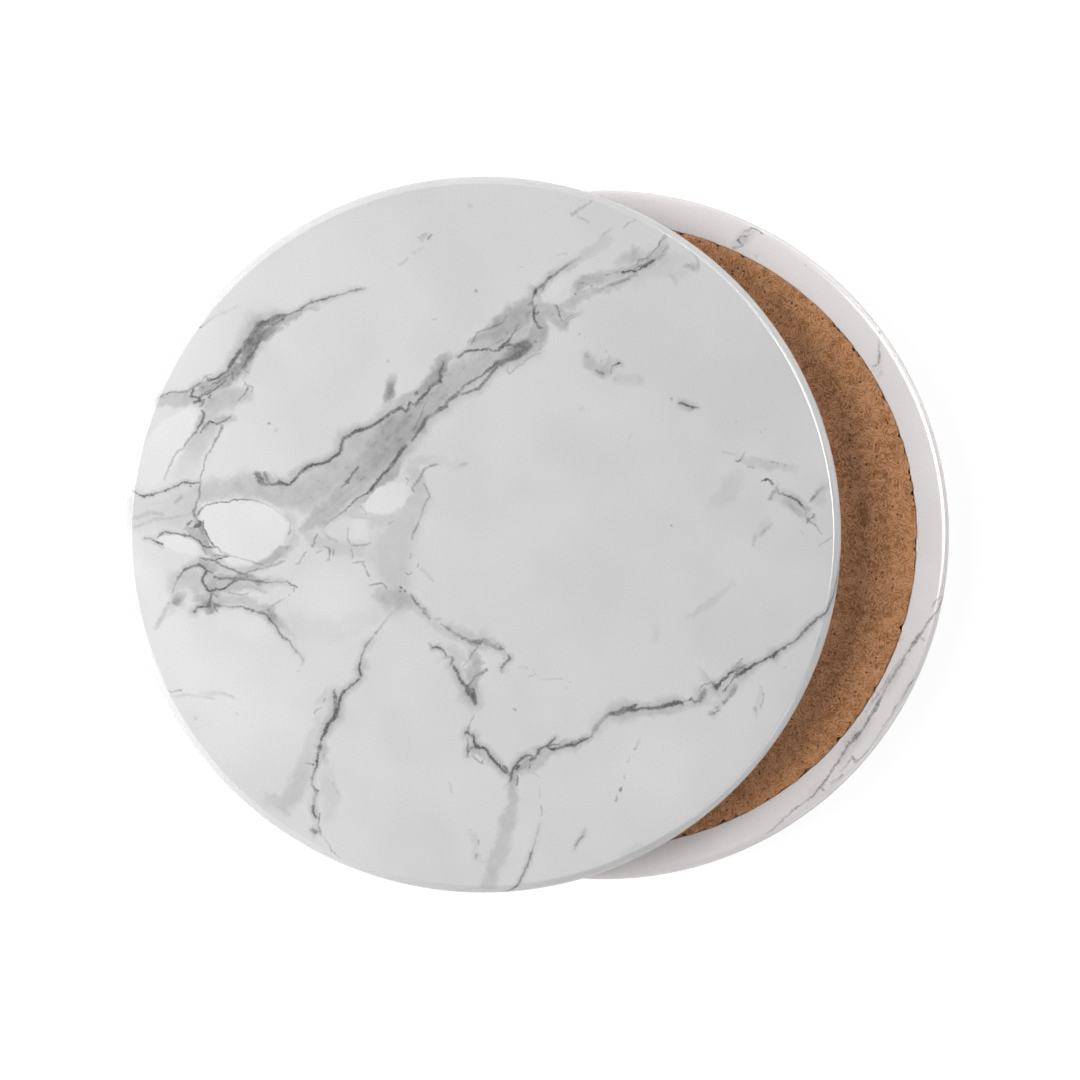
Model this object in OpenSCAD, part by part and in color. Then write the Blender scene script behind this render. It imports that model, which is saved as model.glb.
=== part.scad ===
// Two round drink coasters, lying as a loose pair on a table.
// The lower one lies face down and shows its cork. The upper one lies face up
// on it and has slid to the side, so that both sides of a coaster can be seen.
// Each coaster is a pressed ceramic tile with a shallow recess in its underside,
// a thin sheet of glue on the floor of the recess, and a cork pad on the glue
// that stands a little proud of the tile.
// Frame: +Z up, the table at Z 0, the origin under the middle of the pair.
// The centres of the two coasters lie on the X axis.

/* [Tile] */
// Diameter of a tile at its widest
tile_d = 100; // [60:1:150]
// Thickness of a tile, from its underside to its face
tile_t = 8.7; // [7:0.1:14]
// Radius of the arc that crowns the side of a tile, from the side wall up to the face
crown_r = 3.7; // [3.3:0.1:12]
// Depth below the face at which that arc runs into the side wall
crown_depth = 3; // [1.5:0.1:3.2]
// Radius of the small round where the face meets the crowned side
face_round = 0.4; // [0.1:0.05:0.8]
// Radius of the round where the side wall meets the underside
base_round = 1.4; // [0.5:0.1:2.4]
// Width of the bare ceramic ring round the recess, out to the side wall
ring_w = 5; // [4:0.1:20]
// Radius of the round on the lip of the recess
lip_round = 0.15; // [0.05:0.05:0.25]

/* [Cork] */
// Thickness of a cork pad
cork_t = 2; // [1:0.1:4]
// Height by which the cork stands proud of the tile's underside
cork_proud = 0.3; // [0.1:0.1:0.7]
// Clearance between the edge of the cork and the wall of the recess
cork_gap = 0.2; // [0.1:0.05:1]
// Radius of the round on the edge of the cork that meets the table
cork_round = 0.3; // [0.1:0.05:0.8]

/* [Glue] */
// Thickness of the sheet of glue
glue_t = 0.2; // [0.1:0.05:0.5]
// Distance by which the glue stands back from the edge of the cork
glue_margin = 1; // [0.5:0.1:5]

/* [Pair] */
// Distance between the centres of the two coasters
side_step = 17.3; // [0:0.1:26]

/* [Hidden] */
$fn = 96;

// Steps in each rounded stretch of an outline
arc_steps = 12;

tile_r = tile_d / 2;
recess_r = tile_r - ring_w;
cork_r = recess_r - cork_gap;
glue_r = cork_r - glue_margin;

// Heights in a coaster that stands by itself, on its cork, at height zero
recess_floor = cork_t + glue_t;
coaster_t = cork_proud + tile_t;

// Centre of the crown's arc, and of the small round that blends it into the face
crown_at = [tile_r - crown_r, coaster_t - crown_depth];
face_round_at = [
    crown_at[0] + sqrt(pow(crown_r - face_round, 2) - pow(crown_depth - face_round, 2)),
    coaster_t - face_round
];
// Where the two arcs touch, as an angle above the horizontal
blend_angle = atan2(face_round_at[1] - crown_at[1], face_round_at[0] - crown_at[0]);

// Points of an arc about a centre, from one angle to another
function arc(centre, r, from, to) = [
    for (i = [0 : arc_steps])
        let (a = from + (to - from) * i / arc_steps)
        centre + r * [cos(a), sin(a)]
];

// Half section of a tile: out along the recess floor, down its wall and over the lip,
// out over the ring, up the side, and in over the crown to the face
function tile_outline() = concat(
    [[0, coaster_t], [0, recess_floor], [recess_r, recess_floor]],
    arc([recess_r + lip_round, cork_proud + lip_round], lip_round, 180, 270),
    arc([tile_r - base_round, cork_proud + base_round], base_round, -90, 0),
    arc(crown_at, crown_r, 0, blend_angle),
    arc(face_round_at, face_round, blend_angle, 90)
);

// Half section of a cork pad, rounded where it meets the table
function cork_outline() = concat(
    [[0, cork_t], [0, 0]],
    arc([cork_r - cork_round, cork_round], cork_round, -90, 0),
    [[cork_r, cork_t]]
);

module tile() {
    color("gainsboro")
        rotate_extrude()
            polygon(tile_outline());
}

module glue_sheet() {
    color("ivory")
        translate([0, 0, cork_t])
            cylinder(h = glue_t, r = glue_r);
}

module cork_pad() {
    color("peru")
        rotate_extrude()
            polygon(cork_outline());
}

// The upper coaster stands on its cork on top of the lower one
module as_upper() {
    translate([-side_step / 2, 0, coaster_t])
        children();
}

// The lower coaster is turned over about X, so that its cork faces up
module as_lower() {
    translate([side_step / 2, 0, coaster_t])
        rotate([180, 0, 0])
            children();
}

as_upper() tile();  // upper_tile
as_upper() glue_sheet();  // upper_glue_sheet
as_upper() cork_pad();  // upper_cork_pad
as_lower() tile();  // lower_tile
as_lower() glue_sheet();  // lower_glue_sheet
as_lower() cork_pad();  // lower_cork_pad
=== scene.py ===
# %% [markdown]
# # A pair of marbled coasters with cork pads
# Two round ceramic coasters lie on a pale table and are seen from straight above.
# One lies face up. The other lies under it, turned over, and shows its cork.
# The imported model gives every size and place. This lesson replaces its plain tiles and
# cork pads with finer meshes of the same size, and finishes all of them with node materials.

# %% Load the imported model
import math

import bpy
from mathutils import Matrix, Vector


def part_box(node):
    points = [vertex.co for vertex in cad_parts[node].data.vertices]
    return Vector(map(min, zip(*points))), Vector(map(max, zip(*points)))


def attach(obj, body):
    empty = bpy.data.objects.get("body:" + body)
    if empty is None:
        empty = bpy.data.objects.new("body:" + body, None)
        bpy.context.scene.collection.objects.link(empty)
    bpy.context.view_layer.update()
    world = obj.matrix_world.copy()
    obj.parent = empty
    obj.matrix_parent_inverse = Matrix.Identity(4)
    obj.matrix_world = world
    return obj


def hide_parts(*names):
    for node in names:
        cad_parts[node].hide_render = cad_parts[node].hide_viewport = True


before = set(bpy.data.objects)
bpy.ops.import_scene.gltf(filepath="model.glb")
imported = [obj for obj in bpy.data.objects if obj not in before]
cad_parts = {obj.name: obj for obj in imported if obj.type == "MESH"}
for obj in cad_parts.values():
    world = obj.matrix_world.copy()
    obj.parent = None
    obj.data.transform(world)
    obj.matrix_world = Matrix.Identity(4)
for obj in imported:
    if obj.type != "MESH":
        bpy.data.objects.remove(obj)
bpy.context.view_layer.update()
MM = 0.001

# %% [markdown]
# ## Sizes
# Both coasters are alike, so one set of sizes serves both. They are read off the packed
# nodes, in the frame of a coaster that stands on its cork at height zero. Only the width of
# the bare ring and the radii of the rounded edges are typed in, because a bounding box
# doesn't tell them.

# %% Read the sizes of a coaster
tile_low, tile_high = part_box("upper_tile")
cork_low, cork_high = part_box("upper_cork_pad")
_, glue_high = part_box("upper_glue_sheet")
lower_low, lower_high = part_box("lower_tile")

TILE_R = (tile_high.x - tile_low.x) / 2
CORK_R = (cork_high.x - cork_low.x) / 2
CORK_T = cork_high.z - cork_low.z
UNDERSIDE_Z = tile_low.z - cork_low.z
FACE_Z = tile_high.z - cork_low.z
RECESS_Z = glue_high.z - cork_low.z
RING_WIDTH = 5 * MM
RECESS_R = TILE_R - RING_WIDTH

CROWN_R = 3.7 * MM
CROWN_DEPTH = 3 * MM
FACE_ROUND = 0.4 * MM
BASE_ROUND = 1.4 * MM
LIP_ROUND = 0.15 * MM
CORK_ROUND = 0.3 * MM

UPPER_AT = Vector(((tile_low.x + tile_high.x) / 2, 0, cork_low.z))
LOWER_AT = Vector(((lower_low.x + lower_high.x) / 2, 0, FACE_Z))
UPPER_PLACE = Matrix.Translation(UPPER_AT)
LOWER_PLACE = Matrix.Translation(LOWER_AT) @ Matrix.Rotation(math.pi, 4, "X")
print("tile radius", round(TILE_R / MM, 2), "cork radius", round(CORK_R / MM, 2))
print("heights", [round(v / MM, 2) for v in (UNDERSIDE_Z, RECESS_Z, FACE_Z)])

# %% [markdown]
# ## Camera
# The photograph looks straight down, and both outlines are true circles. The farther
# coaster looks 4 percent smaller, which sets the camera's height, and the height with the
# width of the view sets the lens. The camera stands a little to one side of the pair.

# %% Set up the camera
CAMERA_HEIGHT = 217.9 * MM
CAMERA_X = -0.725 * MM
CAMERA_Y = -0.75 * MM
VIEW_WIDTH = 150.5 * MM
OUTLINE_HEIGHT = 15.9 * MM
CLIP_START = 10 * MM
SENSOR_WIDTH = 36

camera = bpy.data.objects.new("camera", bpy.data.cameras.new("camera"))
bpy.context.scene.collection.objects.link(camera)
camera.location = (CAMERA_X, CAMERA_Y, CAMERA_HEIGHT)
camera.data.sensor_width = SENSOR_WIDTH
camera.data.lens = SENSOR_WIDTH * (CAMERA_HEIGHT - OUTLINE_HEIGHT) / VIEW_WIDTH
camera.data.clip_start = CLIP_START
bpy.context.scene.camera = camera
bpy.context.scene.view_settings.view_transform = "Standard"
print("lens, mm:", round(camera.data.lens, 2))


# %% [markdown]
# ## Small helpers for node trees
# A node tree in code is easier to read when one call makes a node, sets it and links it.
# A value that is a socket gets linked, and any other value is typed into the input.

# %% Make helpers for nodes
def add_node(tree, kind, inputs=None, **settings):
    """A new node of that kind, with its settings, and its inputs linked or filled in."""
    made = tree.nodes.new(kind)
    for name, value in settings.items():
        setattr(made, name, value)
    for key, value in (inputs or {}).items():
        if isinstance(value, bpy.types.NodeSocket):
            tree.links.new(value, made.inputs[key])
        else:
            made.inputs[key].default_value = value
    return made


def calculate(tree, operation, *values):
    """One sum, as a Math node."""
    return add_node(tree, "ShaderNodeMath", dict(enumerate(values)), operation=operation).outputs[0]


def calculate_vector(tree, operation, *values):
    """One sum on vectors, as a Vector Math node."""
    made = add_node(tree, "ShaderNodeVectorMath", dict(enumerate(values)), operation=operation)
    single = operation in ("DOT_PRODUCT", "LENGTH", "DISTANCE")
    return made.outputs["Value" if single else "Vector"]


def scaled(tree, vector, scale):
    """A vector made longer or shorter."""
    return add_node(
        tree, "ShaderNodeVectorMath", {0: vector, "Scale": scale}, operation="SCALE").outputs[0]


def parts_of(tree, vector):
    """The X, Y and Z of a vector."""
    return add_node(tree, "ShaderNodeSeparateXYZ", {0: vector}).outputs


def joined(tree, x, y, z):
    """A vector with that X, Y and Z."""
    return add_node(tree, "ShaderNodeCombineXYZ", {"X": x, "Y": y, "Z": z}).outputs[0]


# %% Make helpers for groups and modifiers
def new_group(kind, name, inputs, outputs):
    """A node group with named sockets, and its input and output nodes."""
    tree = bpy.data.node_groups.new(name, kind)
    for in_out, sockets in (("INPUT", inputs), ("OUTPUT", outputs)):
        for socket, socket_kind in sockets:
            tree.interface.new_socket(
                socket, in_out=in_out, socket_type="NodeSocket" + socket_kind)
    return tree, tree.nodes.new("NodeGroupInput").outputs, tree.nodes.new("NodeGroupOutput").inputs


def made_by(tree, piece, inputs):
    """The mesh that a Geometry Nodes tree makes of a piece, with the tree's inputs by name."""
    modifier = piece.modifiers.new(tree.name, "NODES")
    modifier.node_group = tree
    for item in tree.interface.items_tree:
        if item.name in inputs:
            modifier[item.identifier] = inputs[item.name]
    evaluated = piece.evaluated_get(bpy.context.evaluated_depsgraph_get())
    return bpy.data.meshes.new_from_object(evaluated)


# %% [markdown]
# ## A tree that turns a profile into a piece
# A pressed tile is round about its own axis, so half a cross-section is its whole shape.
# It could be spun with a modifier or an operator. Geometry Nodes are used here, because the
# tree keeps every point of the profile where it is, and can store each point's own place
# for the material. A grid is made with one row for each point of the profile and one column
# for each step round the axis. Each of its points looks up its place on the profile.

# %% Turn a grid round the axis
WELD_DISTANCE = 0.001 * MM

turning, given, result = new_group(
    "GeometryNodeTree", "turned piece",
    [("Profile", "Geometry"), ("Steps", "Int"), ("Material", "Material")],
    [("Geometry", "Geometry")])
counted = add_node(
    turning, "GeometryNodeAttributeDomainSize", {0: given["Profile"]}, component="CURVE")
rows = counted.outputs["Point Count"]
columns = calculate(turning, "ADD", given["Steps"], 1)
grid = add_node(turning, "GeometryNodeMeshGrid", {
    "Size X": 1, "Size Y": 1, "Vertices X": columns, "Vertices Y": rows})
here = parts_of(turning, add_node(turning, "GeometryNodeInputPosition").outputs[0])
turn = calculate(turning, "MULTIPLY", calculate(turning, "ADD", here["X"], 0.5), math.tau)
last_row = calculate(turning, "SUBTRACT", rows, 1)
row_share = calculate(turning, "ADD", here["Y"], 0.5)
row = calculate(turning, "ROUND", calculate(turning, "MULTIPLY", row_share, last_row))
looked_up = add_node(turning, "GeometryNodeSampleIndex", {
    "Geometry": given["Profile"], "Index": row}, data_type="FLOAT_VECTOR", domain="POINT")
turning.links.new(
    add_node(turning, "GeometryNodeInputPosition").outputs[0], looked_up.inputs["Value"])
outline = parts_of(turning, looked_up.outputs[0])
place = joined(
    turning, calculate(turning, "MULTIPLY", outline["X"], calculate(turning, "COSINE", turn)),
    calculate(turning, "MULTIPLY", outline["X"], calculate(turning, "SINE", turn)), outline["Y"])
moved = add_node(turning, "GeometryNodeSetPosition", {
    "Geometry": grid.outputs["Mesh"], "Position": place})
print("turning tree, so far:", len(turning.nodes), "nodes")

# %% Weld the seam and dress the piece
merged = add_node(turning, "GeometryNodeMergeByDistance", {
    "Geometry": moved.outputs[0], "Distance": WELD_DISTANCE})
smoothed = add_node(turning, "GeometryNodeSetShadeSmooth", {"Geometry": merged.outputs[0]})
stored = add_node(turning, "GeometryNodeStoreNamedAttribute", {
    "Geometry": smoothed.outputs[0], "Name": "place",
    "Value": add_node(turning, "GeometryNodeInputPosition").outputs[0]},
    data_type="FLOAT_VECTOR", domain="POINT")
realized = add_node(turning, "GeometryNodeRealizeInstances", {"Geometry": stored.outputs[0]})
dressed = add_node(turning, "GeometryNodeSetMaterial", {
    "Geometry": realized.outputs[0], "Material": given["Material"]})
turning.links.new(dressed.outputs[0], result["Geometry"])
print("turning tree:", len(turning.nodes), "nodes")


# %% [markdown]
# The profile is an open curve in the XY plane: X is the distance from the axis and Y the
# height. Its rounds are arcs, worked out by one small function. A flat stretch gets extra
# points near its ends, so that smooth shading bends only where the surface does.

# %% Make helpers for profiles
ARC_STEPS = 10
STEPS_ROUND = 288


def arc(centre, radius, start, end):
    """Points along an arc about a centre, from one angle to another, in degrees."""
    angles = [math.radians(start + (end - start) * i / ARC_STEPS) for i in range(ARC_STEPS + 1)]
    return [(centre[0] + radius * math.cos(a), centre[1] + radius * math.sin(a)) for a in angles]


def flat(start, end, near=0.05 * MM, pieces=12):
    """Points of a straight stretch between two corners, with one more close to each corner."""
    length = math.dist(start, end)
    shares = [near / length] + [i / pieces for i in range(1, pieces)] + [1 - near / length]
    return [tuple(a + (b - a) * s for a, b in zip(start, end)) for s in shares]


def turned_piece(name, profile, material, steps=STEPS_ROUND):
    """A mesh object made by turning a profile about the Z axis."""
    curve = bpy.data.curves.new(name + " profile", "CURVE")
    spline = curve.splines.new("POLY")
    spline.points.add(len(profile) - 1)
    for point, (radius, height) in zip(spline.points, profile):
        point.co = (radius, height, 0, 1)
    holder = bpy.data.objects.new(name + " profile", curve)
    bpy.context.scene.collection.objects.link(holder)
    mesh = made_by(turning, holder, {"Steps": steps, "Material": material})
    bpy.data.objects.remove(holder)
    made = bpy.data.objects.new(name, mesh)
    bpy.context.scene.collection.objects.link(made)
    print(name, "has", len(mesh.vertices), "points and", len(mesh.polygons), "faces")
    return made


# %% [markdown]
# ## Veins of the marble
# The pattern on the real tiles is a print or a decal under the glaze. It shows grey marble:
# thin dark cracks that split and meet, soft grey bands beside them, and a few white islands.
# Noise alone gives some marble but not this one, so each crack is laid along a route of
# points, in millimetres from the middle of the face, with X to the right and Y up.
# A point is x, y and, where they change, darkness (1 is the darkest) and half width.
# Noise is added later, to make the cracks ragged and uneven.

# %% Lay out the upper left vein
upper_left_vein = [
    [(-35.2, 22.6, .8, .2), (-34.6, 23.6, .95, .25), (-33.9, 24.6), (-33.3, 25.4, 1, .3),
     (-32.6, 26.3, 1, .4), (-31.9, 27.2), (-31.3, 27.9, 1, .5), (-30.8, 28.7),
     (-30.3, 29.1, .95, .4), (-29.5, 29.4, .9, .3), (-28.9, 29.8, .7, .35), (-28.2, 30.1, .7, .3),
     (-27.3, 30.3, .6, .18), (-26.2, 30.6, .5, .12), (-25.2, 31, .55), (-24.4, 31.6),
     (-23.6, 32, .8, .13), (-22, 32.4, .85), (-20.8, 32.8, .5), (-19.3, 33.2, .25),
     (-17.8, 33.65, .45, .15), (-17.2, 33.8), (-16.1, 34, .1)],
    [(-29, 28.9, .7), (-28.2, 29.3), (-27.6, 29.6, .8, .14), (-27.2, 30, .6, .1), (-27, 30.3)],
    [(-30.4, 27.6, .3, .12), (-29.7, 28.1), (-29, 28.2, .2)],
    [(-33, 23, .75, .15), (-32.6, 23.8, .8), (-32.3, 24.4), (-31.6, 25.2, .6), (-31, 26, .8, .22),
     (-30.8, 26.8, .6), (-30.5, 27.3, .3)],
    [(-33, 22.9, .4), (-32.6, 22.5), (-32.2, 22.2)],
    [(-32.8, 21, .35), (-32.6, 20.6), (-32, 20.4), (-31.7, 20.2), (-31.8, 19.6)],
    [(-33.7, 18.5, .5, .12), (-33.2, 19), (-32.7, 19.5), (-32.4, 20.2)],
    [(-35.4, 22.4, .9, .18), (-36, 22), (-36.8, 21.5), (-37.5, 21.2), (-37.9, 21.3)],
    [(-34.9, 22.1, .6, .12), (-35.8, 21.4), (-36.5, 21), (-37.2, 20.8)],
    [(-34.5, 22.4, .7, .12), (-34.5, 22), (-34.4, 21.4)],
    [(-35.3, 21.4, .8, .12), (-36, 20.8), (-36.6, 20.3), (-37.3, 19.8), (-38, 19.4), (-38.7, 19.1),
     (-39.2, 18.8)],
    [(-37.5, 20, .6), (-38.2, 19.6), (-38.9, 19.2)],
    [(-38.9, 20.9, .8, .15), (-39.4, 20.6), (-39.8, 20.3), (-40, 19.8), (-40.2, 19.1)],
    [(-38.9, 20.9, .3, .12), (-38.5, 21.5), (-38, 21.9), (-37.4, 22.2)],
    [(-40.2, 19.1, .7, .12), (-39.6, 19), (-39.2, 18.8), (-38.7, 18.5, .9, .2), (-39.2, 18.4, 1),
     (-39.8, 18.2, .8)],
    [(-38.3, 18.6, .6, .15), (-38.6, 18), (-39, 17.6)], [(-37.5, 19.3, .6, .15), (-37.8, 18.8)],
    [(-39, 20.3, .4), (-38.4, 20.4)]]
upper_left_tail = [
    [(-44.6, 18.8, .35, .12), (-44, 19.2), (-43.3, 19.6, .45), (-42.5, 19.7), (-41.5, 19.6),
     (-40.6, 19.8), (-40.1, 20.1)],
    [(-38.6, 17, .8, .15), (-38.4, 16.6), (-38.5, 16.1), (-38.8, 15.5), (-39.2, 14.9),
     (-39.4, 14.4, .4)],
    [(-38.9, 14, .5, .12), (-38.5, 14.7), (-38.1, 15.1), (-37.7, 15.6, .8, .15), (-37.2, 15.5),
     (-36.7, 15.2), (-36.3, 15.4, .6), (-35.8, 15.5), (-35.2, 15.9), (-34.7, 16.3, .4)],
    [(-35.9, 15.1, .5, .15), (-35.9, 14.6), (-36.3, 13.9), (-36.8, 13.1), (-37.1, 12.3, .4),
     (-37.3, 11.8), (-38, 11, .35, .12), (-38.3, 10), (-38.4, 9.2), (-38.8, 8.2), (-39, 7, .2)],
    [(-39.5, 14.2, .5, .15), (-40.2, 13.5), (-40.8, 12.8), (-41.2, 12, .35), (-42, 11.5),
     (-42.7, 10.6), (-42.8, 10, .3), (-43.2, 9.3), (-43.6, 8.5), (-43.9, 7.6, .2)],
    [(-39, 28.5, .4, .12), (-38.5, 28.9, .2, .18), (-37, 30, .12), (-35.5, 30.7),
     (-33.7, 31.5, .08)],
    [(-31.9, 37.6, .25), (-31, 38.3, .15)]]

# %% Lay out the left vein
left_vein = [
    [(-48.2, 6, .6, .12), (-47, 5.3, .8), (-46.1, 5.4, .7), (-45.5, 5.5), (-44.6, 5.8), (-43.8, 6),
     (-43.2, 6.3), (-42.3, 6.6), (-41.5, 7.1), (-40.6, 7.2), (-39.8, 7.1), (-38.9, 7.2, .5)],
    [(-38.9, 7.1, .5, .15), (-39, 6.5), (-39, 5.6), (-39.3, 4.6), (-39.6, 3.8), (-39.9, 3.2),
     (-39.6, 2.5), (-39.3, 1.9)],
    [(-39.2, 2.7, .9, .15), (-39, 3.2), (-38.7, 3.7, .6)],
    [(-39.7, 1, .9, .15), (-39.2, 1.2, 1, .3), (-38.8, 1.5, 1, .25), (-39.2, 1.9, .9, .15)],
    [(-40.6, 1.4, .6, .15), (-40.1, 1.9)],
    [(-38.8, 3.6, .6), (-38, 4, .5), (-37, 4.4), (-36, 4.5), (-35, 4.5), (-34.3, 4.8, .6),
     (-33, 4.9), (-31.5, 4.7, .35), (-30, 4.3, .22), (-29, 3.6, .12), (-27.5, 2.8, .08),
     (-26.5, 2)],
    [(-26.5, 2, .08, .12), (-26.6, .5, .25), (-27, -.6, .1), (-27.3, -1.8), (-28, -3, .14),
     (-30, -4.2)],
    [(-30, -4.2, .25, .12), (-33.5, -3.3), (-36, -2.4, .35), (-36.8, -1.7, .5)],
    [(-38.6, 1.9, .8, .12), (-38.5, 1), (-38, 0), (-37.6, -.9), (-36.9, -1.7)],
    [(-46.7, -.5, .5, .12), (-45.6, -.6), (-45, -.9, .8), (-44.5, -1.2, 1), (-44.1, -1.4)],
    [(-44.8, -.4, .6, .12), (-44.3, .1, .7), (-43.6, .4), (-43, .2), (-42.4, .2), (-41.7, 0),
     (-41, -.1), (-40, -.4), (-39.2, -.8), (-38.6, -1.4, .8, .15), (-38.1, -1.8), (-37.4, -1.8),
     (-36.9, -1.7)],
    [(-38.7, -1.2, .4, .12), (-38.6, -1.8), (-38.3, -2.4), (-38, -2.8)],
    [(-48, 1, .15, .2), (-46.5, 1.6), (-45, 2.1), (-43, 2.3), (-41, 2.6), (-39.8, 3)],
    [(-48.3, 2.2, .15, .3), (-46, 3), (-44, 2.8)], [(-42.4, 4.5, .25, .25), (-41.5, 5.2)]]
lower_left_cluster = [
    [(-38.9, -3.3, .6, .12), (-38.2, -3.5, .7), (-37.5, -3.5), (-36.8, -3.6), (-36.2, -4.1),
     (-35.6, -4.4), (-34.9, -4.7, .5), (-33.8, -5.1), (-32.8, -5.5, .4)],
    [(-37, -2.9), (-36, -2.9), (-35, -2.9)], [(-36.8, -3.5, .7), (-36, -3.2), (-35, -2.9)],
    [(-42.7, -8, .3, .12), (-42.4, -7), (-42, -6, .5), (-41.4, -5.2), (-41, -4.8, .7, .15),
     (-40.3, -4.5), (-39.6, -4.2, .8, .18), (-39, -4.1), (-38.4, -4.5), (-38, -5)],
    [(-38, -5, .8, .18), (-38.2, -5.5), (-38.6, -5.9), (-38.6, -6.5), (-38.2, -7), (-38, -7.6)],
    [(-38, -5, .5, .15), (-37.5, -5.2), (-37.1, -5.4)],
    [(-37, -5.9, .7, .12), (-36, -6), (-35, -6), (-34, -6, .5), (-33, -6), (-32.4, -5.8, .4)],
    [(-36.5, -6.2, .6, .12), (-35, -6.1), (-33.5, -6.2), (-32, -6.3, .5), (-31, -6.4),
     (-30, -6.6, .4), (-28.7, -6.5, .3), (-27, -6.5, .35), (-26.5, -6.9, .5), (-26, -7.1),
     (-25.5, -7.3)],
    [(-38, -7.6, .9, .18), (-37.5, -7.8), (-36.8, -7.5), (-36.2, -7.6), (-35.6, -7.4), (-35, -6.9),
     (-34.4, -6.6), (-33.7, -6.3, .5)],
    [(-32.8, -5.5, .35, .15), (-32.3, -5.2), (-31, -4.8), (-30, -4.5), (-29, -4.3), (-28, -3.9),
     (-27.3, -3.6, .2)],
    [(-43.2, -9.5, .2, .3), (-44, -10.8), (-44.4, -11.7), (-44.8, -12.5), (-45.2, -13, .1)],
    [(-39.7, -10.6, .9, .15), (-39.3, -10.1), (-38.7, -9.9), (-38.1, -9.9), (-37.6, -9.8, 1, .3)],
    [(-37.7, -9.2, .7, .15), (-37.4, -8.4), (-37.2, -8.2, .4), (-36.5, -8.6)],
    [(-37.1, -9.6, .5, .12), (-36.6, -9.8), (-36, -9.8, .4), (-35, -10), (-34, -9.9), (-33, -10),
     (-32, -10.4, .6, .15), (-31, -10.6), (-30, -10.9, .7), (-29.6, -11.3, .8), (-29.2, -12),
     (-28.7, -12.4, .6), (-28.3, -12.9), (-28, -13.5, .5, .12), (-27.6, -14.1), (-27, -14.5),
     (-26.5, -14.8, .4), (-26.1, -15.5), (-25.8, -16.1), (-25.3, -16.4, .3), (-25, -16.8),
     (-24.7, -17.3), (-24.8, -17.9, .15)],
    [(-37, -9.8), (-36.6, -10.6)], [(-37.9, -10), (-37.4, -10.5)],
    [(-29.4, -11.3, .3, .7), (-28.6, -11.8), (-27.5, -12.3, .15)],
    [(-35, -8, .3, .12), (-34, -8.2), (-33.2, -8.3), (-32.3, -8.1)],
    [(-33, -7.2, .15, .2), (-31.5, -7.3), (-30, -7.9)], [(-25.9, -7.2, .4), (-26, -7.9)],
    [(-27.3, -8.8, .2, .15), (-28.2, -9.3), (-29, -9.8)]]
left_spots = [
    (-40.3, 6.7, 1, .2), (-46.6, 5.4, 1, .2), (-42.2, -9.2, .4, .7), (-37.7, -9.5, 1, .45),
    (-29.5, -10.4, .6, .25), (-26.7, -8.4, .35, .2), (-25.4, -18.9, .2, .15),
    (-33.9, -24.8, .15, .25), (-39.6, -25.3, .12, .4)]
far_left_marks = [
    [(-43.7, -21.3, .25, .15), (-43, -21.7, .3), (-42.3, -21.6), (-41.5, -21.4)],
    [(-43.2, -22.2, .12, .2), (-42, -22.3), (-40.5, -22.1), (-38.5, -22.4), (-37, -22.6)],
    [(-39, -22, .1, .3), (-36, -21.8), (-34, -22.6, .15, .2)]]

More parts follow.
